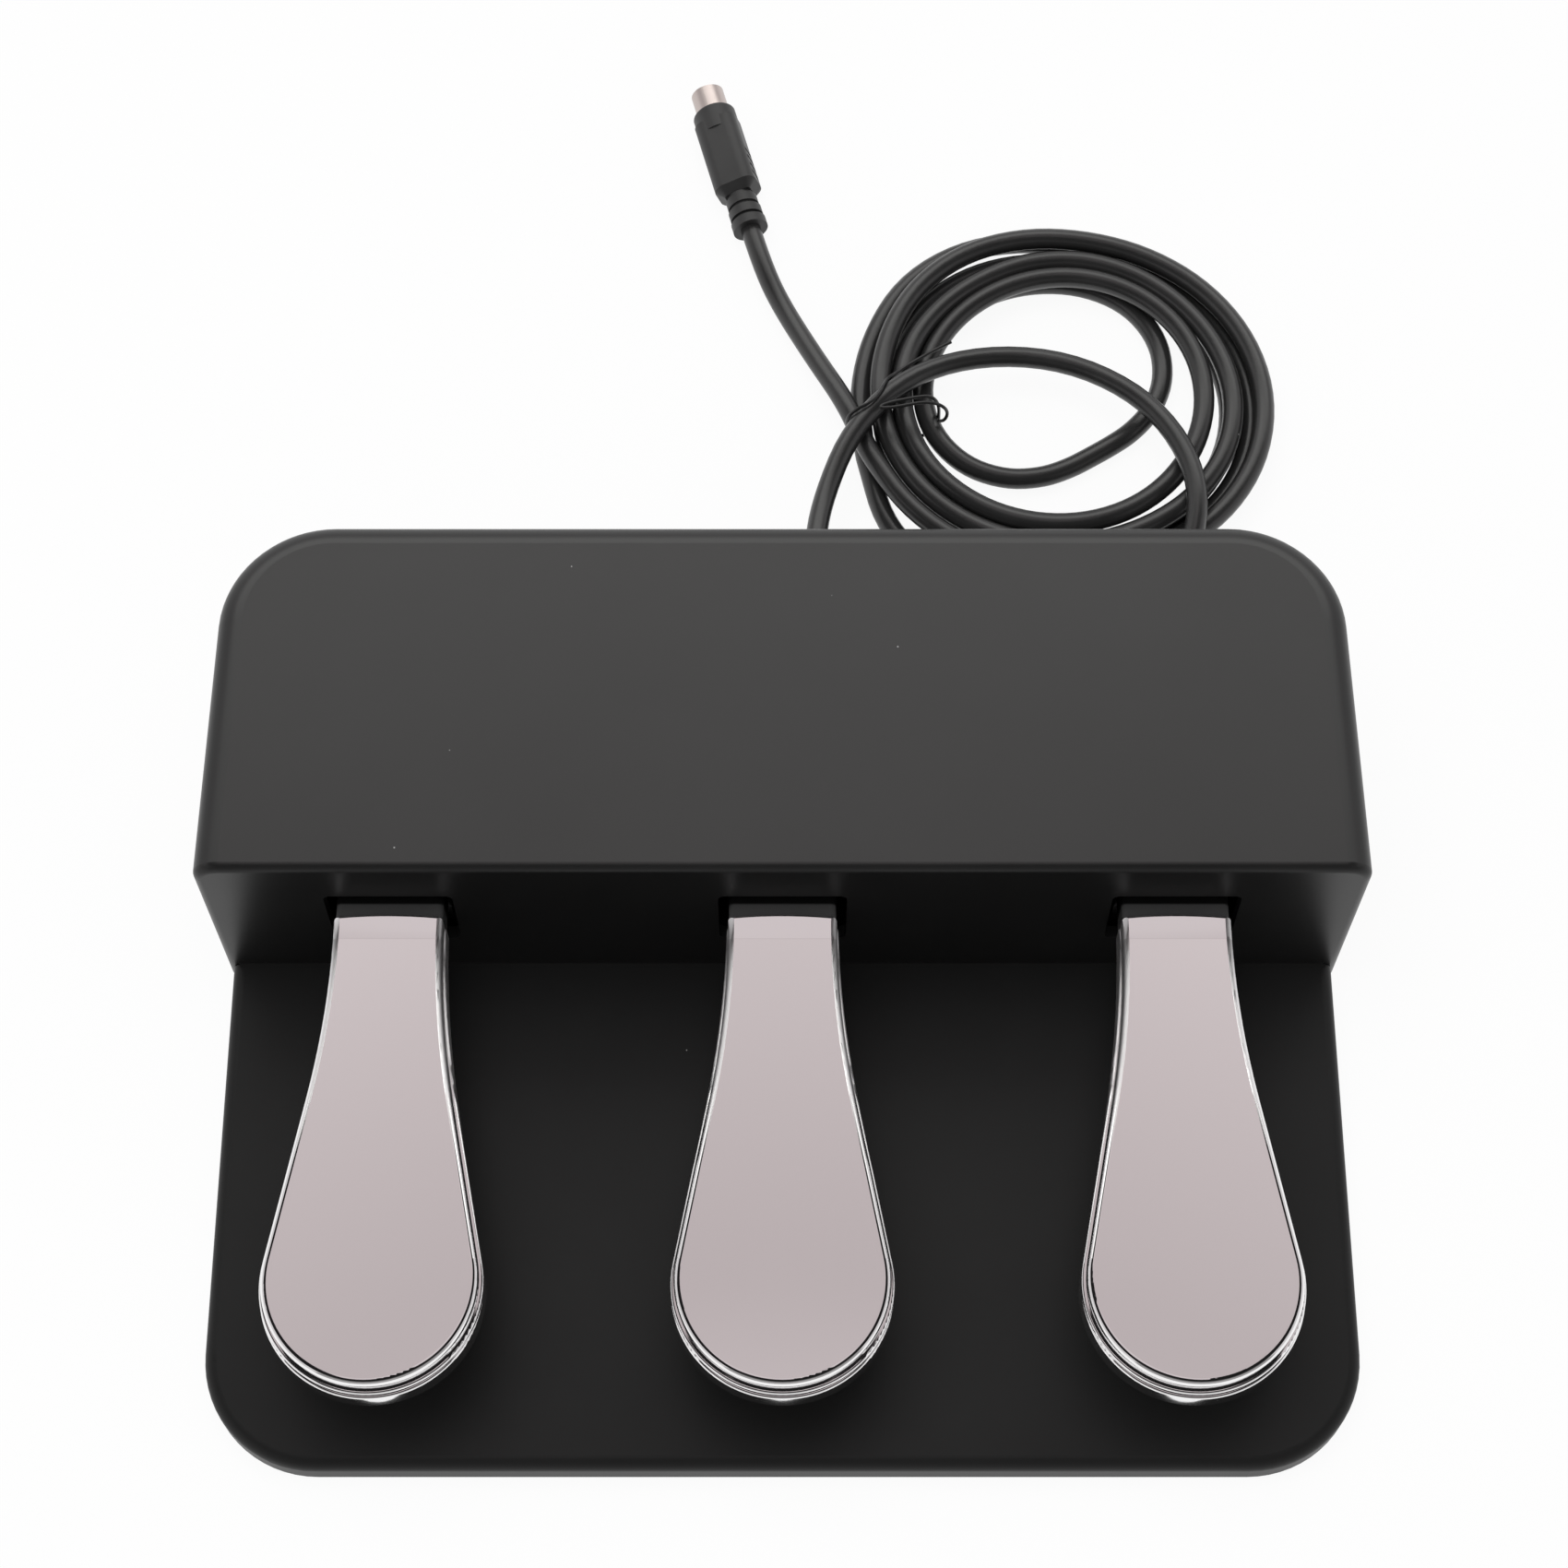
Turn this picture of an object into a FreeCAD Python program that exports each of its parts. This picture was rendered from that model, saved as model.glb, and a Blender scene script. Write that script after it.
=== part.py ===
import FreeCAD, Part
import math
import os
from FreeCAD import Vector

# A triple piano pedal unit that stands on the floor: a low moulded plate with a deep box at its
# back, three chromed pedals that reach out of slots in the box, and a signal cord with a plug.
# Millimetres. X points to the player's right, Y away from the player, Z up. The origin is on the
# floor, under the middle of the plate and box.

# Overall outline
box_width_front = 270.0      # across the box at its slotted front
box_width_rear = 266.0       # across the box at its rear wall
box_depth = 91.0             # slotted front to rear wall
box_top = 68.0               # height of the box's flat top over the floor
apron_depth = 123.3          # plate in front of the box
apron_width = 267.0
plate_top = 10.5             # height of the plate's top over the floor
foot_height = 2.0
plan_corner = 27.0           # plan radius of the plate's front corners
box_corner = 27.0            # plan radius of the box's rear corners
box_edge = 6.5               # rounding of the box's top edge, sides and rear
box_front_edge = 2.0         # rounding all round the slotted front
plate_edge = 3.0             # rounding of the plate's top edge

# Walls and general fits
box_wall = 3.0
skin = 2.5                   # plate's top skin
rim_wall = 3.0               # plate's outer wall
rib = 1.6
seam = 0.3                   # play between the plate and the box round it
sheet = 1.5                  # steel bottom sheet
sheet_play = 0.2
bite = 0.5                   # how far a fused detail sinks into what carries it
cross_rib_count = 5
foot_radius = 9.5
foot_edge = 0.6
stop_gap = 0.1               # a pedal's play at its stops
screw_play = 0.1             # round a screw's shank, on radius

# Pedals
pedal_from_side = 43.5       # outer pedals' middles, from the box's side
pedal_names = ("left", "centre", "right")
pedal_top = 48.0             # height of the chromed top over the floor
press_angle = 6.0            # full travel, in degrees
pivot_drop = 6.5             # pivot below the lever's top
stub = 2.65                  # black lever that shows between the box and the chrome
neck_half = 12.7             # half width of the chrome where it meets the lever
neck_corner = 1.8
neck_bow = 0.7               # how far the chrome's rear edge bows towards the box
neck_edge = 0.5              # rounding of the chrome's rear edge
tip_radius = 24.2
tip_reach = 89.4             # box front to the centre of the round end
flank_angle = 10.8           # straight flank's lean, in degrees
flank_length = 38.4
cap_wall = 2.0
cap_skirt = 6.1              # depth of the upper chromed shell
cap_edge = 1.45
hem_step = 0.85              # hem round the shell's lower edge, beyond its wall at the round end
hem_neck_step = 0.3          # and at the neck
hem_depth = 1.3
hem_edge = 0.6
tray_depth = 6.9             # depth of the lower chromed tray
tray_ahead = 0.7             # tray's round end, ahead of the shell's
tray_rear_inset = 0.6
tray_floor = 1.5
tray_edge = 1.0              # rounding of the tray's lower edge
tray_lip = 0.6               # and of its upper one
boss_radius = 3.2
cap_screw_radius = 1.4
cap_screw_head = 2.8
cap_screw_head_depth = 1.3
neck_screw_reach = 28.0      # box front to the rear screw under each pedal
tip_screw_ahead = 7.7        # front screw, ahead of the round end's centre
cap_screw_bite = 1.5         # metal left over a screw's end in the cap

# Levers: inverted channels of pressed steel
lever_half = 12.5
lever_step = 1.5             # lever's top below the chrome's
lever_depth = 10.5
lever_wall = 2.0
lever_edge = 1.5
tongue_half = 8.5
tongue_end_from_tip = 12.0   # tongue's end, behind the centre of the round end
tail_length = 11.5           # lever behind the pivot
lug_radius = 6.5

# Slots in the box's front
slot_play = 2.5              # beside the lever
slot_head = 5.9              # above the lever
slot_foot = 2.1              # below the lever when it is fully down
slot_corner = 2.0

# Hinge brackets
cheek_play = 0.5
bracket_wall = 2.0
bracket_front = 11.0         # bracket in front of the pivot
bracket_rear = 13.0          # bracket behind the pivot
bracket_drop = 0.5           # cheeks' tops below the lever's top
cheek_corner = 6.0
ledge_inset = 1.0
bracket_screw_offset = 6.5
bracket_screw_forward = 1.0
bracket_screw_reach = 9.0    # shank below the bracket's seat on the plate
bracket_screw_radius = 1.5
bracket_screw_head = 3.0
bracket_screw_head_depth = 1.8
pin_radius = 2.5
pin_play = 0.05
pin_seat_play = 0.02
pin_head = 4.0
pin_head_depth = 1.5
pin_stub = 1.5               # pin beyond the far cheek
pin_chamfer = 0.5
felt_depth = 1.9
felt_length = 3.2
felt_margin = 0.2

# Springs, stops and switches
station_rooms = (3.35, 2.15, 1.65, 5.0, 1.85)   # how the box's spare depth is shared out: ahead
                             # of the stops, springs, board, brackets and wires
spring_radius = 5.6          # to the wire's centre
spring_wire = 1.5
spring_turns = 5
spring_play = 0.2
spring_seat_radius = 4.2
spring_seat_height = 3.5
stop_length = 7.0
stop_pad = 5.5               # about the rubber's depth
stop_half = 12.5
stop_chamfer = 0.6
pedestal_margin = 1.0        # plate's pedestal round the rubber
switch_half = 5.0
switch_height = 9.0
switch_corner = 0.8
collar_wall = 1.2
collar_height = 1.0
plunger_radius = 2.0
plunger_bore_play = 0.15
plunger_dome = 4.0
plunger_gap = 0.1
plunger_inside = 5.5         # plunger inside the switch
plunger_stand = 11.3         # plunger above the switch
plunger_bore_foot = 0.4      # play below the plunger when it is fully down
board_thickness = 1.6
board_overhang = 13.0        # board beyond the outer switches' centres
board_depth = 18.0
board_post = 3.5
board_screw_reach = 7.0
board_inset = 0.5            # header and wires from the board's rear edge
header_x = 33.0
header_width = 10.0
header_depth = 6.0
header_height = 6.0
header_corner = 0.5
wire_radius = 1.1
wire_lane = 4.6              # wires' crossing lane, from the gland's inner face
wire_lead_in = 10.0          # last straight run into the header
lead_straight = 13.0         # the cord's straight run out of the gland
coil_lead_in = 17.0          # and into the coil
coil_run_out = 12.0          # and out of the coil, and into the plug's boot

# Posts and screws
post_radius = 4.5
post_bore = 1.5
post_bore_depth = 14.0
post_side = 14.0             # side posts, from the box's widest line
post_front = 16.9            # front side posts, behind the box's face
post_rear = 25.2             # rear side posts, from the rear wall
post_rear_inset = 5.0        # rear side posts, further in than the front ones
middle_post_rear = 15.2      # posts between the pedals, from the rear wall
box_screw_head = 3.2
box_screw_head_depth = 2.0
box_screw_room = 0.8         # round a screw's head under the plate
sheet_boss = 4.0
sheet_screw_radius = 1.3
sheet_screw_head = 2.9
sheet_screw_head_depth = 1.2
sheet_screw_skin = 1.5       # plate left over a sheet screw's end
side_screw_inset = 15.5      # sheet screws, from the apron's and the box's sides
side_screw_front = 35.2      # from the plate's front
front_screw_inset = 10.2     # from the plate's front, between the pedals
middle_screw_ahead = 36.2    # ahead of the box's face, between the pedals
rear_screw_rear = 52.2       # from the rear wall
foot_inset = 21.5            # feet, from the apron's and the box's sides
foot_front = 21.2            # from the plate's front
foot_rear = 27.2             # from the rear wall
foot_rear_inset = 4.0        # rear feet, further in than the front ones

# Cord and plug
cord = 5.5                   # diameter
exit_x = 8.0
exit_z = 17.0
gland_reach = 8.0
gland_radius = 4.6
gland_flange = 6.4
gland_flange_depth = 1.6
gland_step = 0.7
gland_tip_wall = 1.1
coil_x = 73.0                # coil's centre
coil_y = 177.4
coil_start_radius = 52.5
coil_pitch = 6.2             # from one turn to the next, across
coil_layer = 6.0             # from one layer to the next, up
coil_start_angle = -165.0
coil_total_angle = 2155.0
coil_facets = 10
loose_depth = 8.5            # how far the innermost turn hangs into the coil's opening
loose_before = 100.0         # its deepest point, ahead of the middle of the winding
loose_half = 135.0           # and how far it takes to leave and rejoin the bundle, in degrees
climb_half = 90.0            # the climb from layer to layer, each side of the middle
tie_wire = 0.9
tie_play = 0.25
tie_angle = 191.0
tie_corner = 4.0
tie_slack = 1.2              # tie outside the outermost turn, for the tail beside it
plug_lean = 15.3             # plug's axis, in degrees left of Y
plug_roll = 18.0             # and how far the plug has rolled over onto its left edge
boot_place = (-8.6, 231.6)
boot_length = 11.0
boot_radius = 4.8
boot_rings = 3
boot_ring_share = 0.7        # a ring's share of its step
boot_taper = 0.5             # the rings shrink by this towards the plug
boot_wall = 0.9              # sleeve round the cord, between the rings
plug_length = 28.3
plug_width = 11.8
plug_height = 11.0
plug_corner = 3.2
plug_chamfer = 2.2
collar_radius = 5.9          # round collar at the grip's front
collar_length = 4.3
collar_edge = 0.8
groove_count = 4
groove_start = 4.2
groove_pitch = 2.5
groove_width = 1.1
groove_depth = 0.8
groove_half_height = 2.9
shell_length = 7.0
shell_radius = 4.5
shell_wall = 0.5
shell_floor = 0.8
key_half = 1.1
key_depth = 1.2
key_start = 2.5
key_turn = 36.0              # round from the underside
insert_depth = 2.2
pin_count = 7
contact_radius = 0.35
contact_circle = 2.5
contact_length = 5.0

# What follows from these
total_depth = box_depth + apron_depth
plate_front_y = -total_depth / 2
face_y = plate_front_y + apron_depth
rear_y = total_depth / 2
sheet_top = foot_height + sheet
skin_under = plate_top - skin
ceiling = box_top - box_wall
pedal_pitch = box_width_front / 2 - pedal_from_side
stop_depth = stop_length + 2 * pedestal_margin
spring_depth = 2 * spring_radius + spring_wire
wire_depth = gland_flange_depth + wire_lane + wire_radius
spare_depth = (box_depth - 2 * box_wall - stop_depth - spring_depth - board_depth - bracket_front
               - bracket_rear - wire_depth)
room = [share * spare_depth / sum(station_rooms) for share in station_rooms]
stop_y = face_y + box_wall + room[0] + stop_depth / 2
spring_y = stop_y + stop_depth / 2 + room[1] + spring_depth / 2
board_y = spring_y + spring_depth / 2 + room[2] + board_depth / 2
pivot_y = board_y + board_depth / 2 + room[3] + bracket_front
lever_top = pedal_top - lever_step
pivot_z = lever_top - pivot_drop
bracket_top = lever_top - bracket_drop
lever_under = lever_top - lever_depth
web_under = lever_top - lever_wall
cap_rear_y = face_y - stub
tip_y = face_y - tip_reach
hem_radius = tip_radius + hem_step
hem_neck_half = neck_half + hem_neck_step
cap_under = pedal_top - cap_skirt
cap_ceiling = pedal_top - cap_wall
tray_under = cap_under - tray_depth
tray_top = tray_under + tray_floor
tongue_end_y = tip_y + tongue_end_from_tip
slot_half = lever_half + slot_play
plunger_crown = web_under - plunger_gap
board_top = plunger_crown - plunger_stand - switch_height
board_bottom = board_top - board_thickness
layer_low = tie_wire + tie_play + cord / 2
layer_high = layer_low + coil_layer
plug_axis = Vector(-math.sin(math.radians(plug_lean)), math.cos(math.radians(plug_lean)), 0)
plug_rest = (plug_corner + (plug_height / 2 - plug_corner) * math.cos(math.radians(plug_roll))
             + (plug_width / 2 - plug_corner) * math.sin(math.radians(plug_roll)))
boot_root = Vector(boot_place[0], boot_place[1], plug_rest)
pedal_x = {name: (i - 1) * pedal_pitch for i, name in enumerate(pedal_names)}

nodes = {}

side_x = box_width_front / 2 - post_side
rear_x = box_width_rear / 2
post_places = ((side_x, face_y + post_front), (side_x - post_rear_inset, rear_y - post_rear),
               (pedal_pitch / 2, rear_y - middle_post_rear))
apron_x = apron_width / 2
sheet_screw_places = ((apron_x - side_screw_inset, plate_front_y + side_screw_front),
                      (pedal_pitch / 2, plate_front_y + front_screw_inset),
                      (pedal_pitch / 2, face_y - middle_screw_ahead),
                      (rear_x - side_screw_inset, rear_y - rear_screw_rear))
foot_places = ((apron_x - foot_inset, plate_front_y + foot_front),
               (rear_x - foot_inset - foot_rear_inset, rear_y - foot_rear))


def pressed(y, z):
    """Where a point of a lever lies when its pedal is fully down."""
    turn = math.radians(press_angle)
    dy, dz = y - pivot_y, z - pivot_z
    return (pivot_y + dy * math.cos(turn) - dz * math.sin(turn),
            pivot_z + dy * math.sin(turn) + dz * math.cos(turn))


def pressed_height(y, under):
    """Height at y, with the pedal down, of a lever face that lies level at rest."""
    y0, z0 = pressed(pivot_y, under)
    return z0 + (y - y0) * math.tan(math.radians(press_angle))


slot_top = lever_top + slot_head
slot_floor = pressed_height(face_y, lever_under) - slot_foot
stop_front = stop_y - stop_length / 2
stop_top_z = pressed_height(stop_front, lever_under) - stop_gap
stop_seat_z = stop_top_z - stop_pad
plunger_travel = web_under - pressed_height(board_y, web_under)


def block(x0, x1, y0, y1, z0, z1):
    return Part.makeBox(x1 - x0, y1 - y0, z1 - z0, Vector(x0, y0, z0))


def post(radius, x, y, z0, z1):
    return Part.makeCylinder(radius, z1 - z0, Vector(x, y, z0))


def bar(radius, x0, x1, y, z):
    return Part.makeCylinder(radius, x1 - x0, Vector(x0, y, z), Vector(1, 0, 0))


def fuse(shapes):
    body = shapes[0].fuse(shapes[1:]) if len(shapes) > 1 else shapes[0]
    return body.removeSplitter()


def upright_edges(shape, keep):
    found = []
    for edge in shape.Edges:
        a, b = edge.Vertexes[0].Point, edge.Vertexes[-1].Point
        if abs(a.x - b.x) < 1e-6 and abs(a.y - b.y) < 1e-6 and keep(a):
            found.append(edge)
    return found


def level_edges(shape, z, keep):
    found = []
    for edge in shape.Edges:
        inside = all(abs(v.Point.z - z) < 1e-6 for v in edge.Vertexes)
        if inside and keep(edge.CenterOfMass):
            found.append(edge)
    return found


def mirrored(places):
    return [(side * x, y) for x, y in places for side in (-1, 1)]


# Box and plate outlines

def box_half(y, inset):
    taper = (box_width_front - box_width_rear) / 2 / box_depth
    return box_width_front / 2 - taper * (y - face_y) - inset


def box_prism(inset, front, z0, z1):
    back = rear_y - inset
    corners = [Vector(-box_half(front, inset), front, z0), Vector(box_half(front, inset), front, z0),
               Vector(box_half(back, inset), back, z0), Vector(-box_half(back, inset), back, z0)]
    prism = Part.Face(Part.makePolygon(corners + corners[:1])).extrude(Vector(0, 0, z1 - z0))
    rear_edges = upright_edges(prism, lambda p: p.y > back - 1)
    return prism.makeFillet(box_corner - inset, rear_edges)


def apron_prism(inset, back, z0, z1):
    half = apron_width / 2 - inset
    prism = block(-half, half, plate_front_y + inset, back, z0, z1)
    front_edges = upright_edges(prism, lambda p: p.y < plate_front_y + inset + 1)
    return prism.makeFillet(plan_corner - inset, front_edges)


def slot_prism(x):
    prism = block(x - slot_half, x + slot_half, face_y - 1, face_y + box_wall + 1, slot_floor, slot_top)
    edges = [e for e in prism.Edges if abs(e.Vertexes[0].Point.y - e.Vertexes[-1].Point.y) > 1]
    return prism.makeFillet(slot_corner, edges)


def make_housing():
    shell = box_prism(0, face_y, foot_height, box_top)
    shell = shell.makeFillet(box_edge, level_edges(shell, box_top, lambda c: c.y > face_y + 1))
    front = [e for e in shell.Edges if all(abs(v.Point.y - face_y) < 1e-6 for v in e.Vertexes)
             and e.CenterOfMass.z > foot_height + 1]
    shell = shell.makeFillet(box_front_edge, front)
    room = box_prism(box_wall, face_y + box_wall, foot_height - 1, ceiling)
    room = room.makeFillet(box_edge - box_wall, level_edges(room, ceiling, lambda c: True))
    shell = shell.cut(room)
    under_front = box_half(face_y, box_wall)
    cuts = [block(-under_front, under_front, face_y - 1, face_y + box_wall + 1, 0, plate_top)]
    cuts += [slot_prism(x) for x in pedal_x.values()]
    cuts.append(Part.makeCylinder(gland_radius, 2 * box_wall, Vector(exit_x, rear_y + box_wall / 2, exit_z),
                                  Vector(0, -1, 0)))
    shell = shell.cut(cuts)
    posts = [post(post_radius, x, y, plate_top, ceiling + bite) for x, y in mirrored(post_places)]
    bores = [post(post_bore + screw_play, x, y, plate_top - 1, plate_top + post_bore_depth)
             for x, y in mirrored(post_places)]
    return fuse([shell] + posts).cut(bores)


# Plate: a ribbed moulding, open below, closed by a steel sheet on rubber feet

def plate_room(play, z0, z1):
    front = apron_prism(rim_wall + play, face_y, z0, z1)
    rear = box_prism(box_wall + seam + rim_wall + play, face_y - 1, z0, z1)
    return fuse([front, rear])


def pedestal(x):
    return block(x - stop_half - pedestal_margin, x + stop_half + pedestal_margin, stop_y - stop_depth / 2,
                 stop_y + stop_depth / 2, plate_top - bite, stop_seat_z)


def bracket_screw_spots():
    y = pivot_y - bracket_screw_forward
    return [(x + side * bracket_screw_offset, y) for x in pedal_x.values() for side in (-1, 1)]


def board_posts():
    return [(side * pedal_pitch / 2, board_y) for side in (-1, 1)]


def make_plate():
    front = apron_prism(0, face_y - sheet_play, foot_height, plate_top)
    front = front.makeFillet(plate_edge, level_edges(front, plate_top, lambda c: c.y < face_y - 1))
    rear = box_prism(box_wall + seam, face_y - 1, foot_height, plate_top)
    body = fuse([front, rear]).cut(plate_room(0, foot_height - 1, skin_under))
    long_ribs = [block(x - rib / 2, x + rib / 2, plate_front_y, rear_y, sheet_top,
                       skin_under + bite) for x in (-pedal_pitch / 2, pedal_pitch / 2)]
    cross_y = [plate_front_y + (i + 1) * total_depth / (cross_rib_count + 1) for i in range(cross_rib_count)]
    cross_ribs = [block(-apron_x, apron_x, y - rib / 2, y + rib / 2, sheet_top, skin_under + bite)
                  for y in cross_y]
    ribs = [r.common(plate_room(-bite, sheet_top, skin_under + bite)) for r in long_ribs + cross_ribs]
    bosses = [post(sheet_boss, x, y, sheet_top, skin_under + bite)
              for x, y in mirrored(sheet_screw_places) + bracket_screw_spots()]
    seats = [post(spring_seat_radius, x, spring_y, plate_top - bite,
                  plate_top + spring_seat_height) for x in pedal_x.values()]
    pedestals = [pedestal(x) for x in pedal_x.values()]
    stands = [post(board_post, x, y, plate_top - bite, board_bottom) for x, y in board_posts()]
    body = fuse([body] + ribs + bosses + seats + pedestals + stands)
    room = [post(box_screw_head + box_screw_room, x, y, foot_height, skin_under) for x, y in mirrored(post_places)]
    holes = [post(post_bore + screw_play, x, y, foot_height, plate_top + 1)
             for x, y in mirrored(post_places)]
    holes += [post(sheet_screw_radius + screw_play, x, y, foot_height, plate_top - sheet_screw_skin + bite)
              for x, y in mirrored(sheet_screw_places)]
    holes += [post(bracket_screw_radius + screw_play, x, y, sheet_top, plate_top + 1)
              for x, y in bracket_screw_spots()]
    holes += [post(bracket_screw_radius + screw_play, x, y, board_bottom - board_screw_reach - bite,
                   board_bottom + 1) for x, y in board_posts()]
    return body.cut(room + holes)


def make_sheet():
    body = plate_room(sheet_play, foot_height, sheet_top)
    return body.cut([post(sheet_screw_radius + screw_play, x, y, 0, plate_top)
                     for x, y in mirrored(sheet_screw_places)])


def screw(radius, head, head_depth, tip, seat, x, y):
    """A screw with its head against the seat and its shank running on to the tip."""
    up = 1 if tip > seat else -1
    shank = Part.makeCylinder(radius, abs(tip - seat), Vector(x, y, seat), Vector(0, 0, up))
    shank = shank.makeChamfer(radius * 0.4, [e for e in shank.Edges
                                             if abs(e.CenterOfMass.z - tip) < 1e-6 and len(e.Vertexes) == 1])
    cap = Part.makeCylinder(head, head_depth, Vector(x, y, seat), Vector(0, 0, -up))
    cap = cap.makeFillet(head_depth * 0.6, [e for e in cap.Edges
                                            if abs(e.CenterOfMass.z - seat + up * head_depth) < 1e-6
                                            and len(e.Vertexes) == 1])
    return shank.fuse(cap).removeSplitter()


# Pedal: flared chromed shell with a hem, a tray that closes it from below, steel lever inside

def pedal_face(tip, neck, rear, z, inset=0.0, ahead=0.0):
    """Plan of a pedal: bowed neck, hollow shoulder, straight flank, round end."""
    lean = math.radians(flank_angle)
    out = Vector(math.cos(lean), math.sin(lean), 0)
    along = Vector(-math.sin(lean), math.cos(lean), 0)
    centre = Vector(0, tip_y - ahead, 0)
    flank_end = centre + out * tip
    flank_start = flank_end + along * flank_length
    chord = Vector(neck, cap_rear_y, 0) - flank_start
    shoulder = chord.dot(chord) / (2 * chord.dot(out))
    shoulder_centre = flank_start + out * shoulder

    def on_shoulder(y):
        r = shoulder + inset
        return Vector(shoulder_centre.x - math.sqrt(r * r - (y - shoulder_centre.y) ** 2), y, 0)

    p_rear = on_shoulder(rear - neck_bow)
    p_start = flank_start - out * inset
    p_end = flank_end - out * inset
    p_mid = on_shoulder((p_rear.y + p_start.y) / 2)
    front = Vector(0, centre.y - tip + inset, 0)

    def left(p):
        return Vector(-p.x, p.y, p.z)

    edges = [Part.Arc(left(p_rear), Vector(0, rear, 0), p_rear), Part.Arc(p_rear, p_mid, p_start),
             Part.LineSegment(p_start, p_end), Part.Arc(p_end, front, left(p_end)),
             Part.LineSegment(left(p_end), left(p_start)),
             Part.Arc(left(p_start), left(p_mid), left(p_rear))]
    face = Part.Face(Part.Wire([e.toShape() for e in edges]))
    face.translate(Vector(0, 0, z))
    return face


def shell_prism(rear, z0, z1, inset=0.0):
    return pedal_face(tip_radius, neck_half, rear, z0, inset).extrude(Vector(0, 0, z1 - z0))


def hem_prism(rear, z0, z1, inset=0.0, ahead=0.0):
    return pedal_face(hem_radius, hem_neck_half, rear, z0, inset, ahead).extrude(Vector(0, 0, z1 - z0))


def cap_screw_ys():
    return [face_y - neck_screw_reach, tip_y - tip_screw_ahead]


def make_cap():
    past = cap_rear_y + 2 * cap_edge
    outer = shell_prism(past, cap_under, pedal_top)
    outer = outer.makeFillet(cap_edge, level_edges(outer, pedal_top, lambda c: c.y < cap_rear_y))
    limit = hem_prism(cap_rear_y, cap_under, pedal_top)
    limit = limit.makeFillet(neck_corner, upright_edges(limit, lambda p: p.y > cap_rear_y - 2 * neck_bow))
    limit = limit.makeFillet(neck_edge, level_edges(limit, pedal_top, lambda c: True))
    hem = hem_prism(cap_rear_y, cap_under, cap_under + hem_depth)
    hem = hem.makeFillet(neck_corner, upright_edges(hem, lambda p: p.y > cap_rear_y - 2 * neck_bow))
    hem = hem.makeFillet(hem_edge, level_edges(hem, cap_under + hem_depth, lambda c: c.y < cap_rear_y - hem_depth))
    hollow = shell_prism(cap_rear_y - cap_wall, cap_under - 1, cap_ceiling, cap_wall)
    neck = block(-tongue_half - seam, tongue_half + seam, cap_rear_y - cap_wall - neck_bow - 1, cap_rear_y + 1,
                 cap_under - 1, cap_ceiling)
    shell = outer.common(limit).fuse(hem).cut([hollow, neck])
    bosses = [post(boss_radius, 0, y, tray_top, cap_ceiling + bite) for y in cap_screw_ys()]
    bores = [post(cap_screw_radius + screw_play, 0, y, tray_under, cap_ceiling - cap_screw_bite + bite)
             for y in cap_screw_ys()]
    return fuse([shell] + bosses).cut(bores)


def make_tray():
    outer = hem_prism(cap_rear_y - tray_rear_inset, tray_under, cap_under, 0, tray_ahead)
    outer = outer.makeFillet(tray_edge, level_edges(outer, tray_under, lambda c: True))
    outer = outer.makeFillet(tray_lip, level_edges(outer, cap_under, lambda c: c.y < cap_rear_y - 2 * tray_lip))
    hollow = hem_prism(cap_rear_y + 2, tray_top, cap_under + 1, cap_wall, tray_ahead)
    bores = [post(cap_screw_radius + screw_play, 0, y, 0, pedal_top) for y in cap_screw_ys()]
    return outer.cut([hollow] + bores)


def make_lever():
    tail_y = pivot_y + tail_length
    wide = block(-lever_half, lever_half, cap_rear_y, tail_y, lever_under, lever_top)
    edges = [e for e in wide.Edges if abs(e.CenterOfMass.z - lever_top) < 1e-6
             and abs(abs(e.CenterOfMass.x) - lever_half) < 1e-6]
    wide = wide.makeFillet(lever_edge, edges)
    wide_room = block(-lever_half + lever_wall, lever_half - lever_wall, cap_rear_y + lever_wall, tail_y + 1,
                      lever_under - 1, web_under)
    tongue = block(-tongue_half, tongue_half, tongue_end_y, cap_rear_y + 1, tray_top, cap_ceiling)
    tongue_room = block(-tongue_half + lever_wall, tongue_half - lever_wall, tongue_end_y - 1, cap_rear_y,
                        tray_top - 1, cap_ceiling - lever_wall)
    lugs = [bar(lug_radius, side * lever_half - (lever_wall if side > 0 else 0),
                side * lever_half + (0 if side > 0 else lever_wall), pivot_y, pivot_z) for side in (-1, 1)]
    body = fuse([wide.cut(wide_room), tongue.cut(tongue_room)] + lugs)
    cuts = [bar(pin_radius + pin_play, -lever_half - 1, lever_half + 1, pivot_y, pivot_z)]
    cuts += [post(boss_radius + seam, 0, y, tray_under, pedal_top) for y in cap_screw_ys()
             if y > tongue_end_y]
    return body.cut(cuts)


# Hinge bracket: a folded steel channel whose rear wall carries a felt-topped ledge

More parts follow.
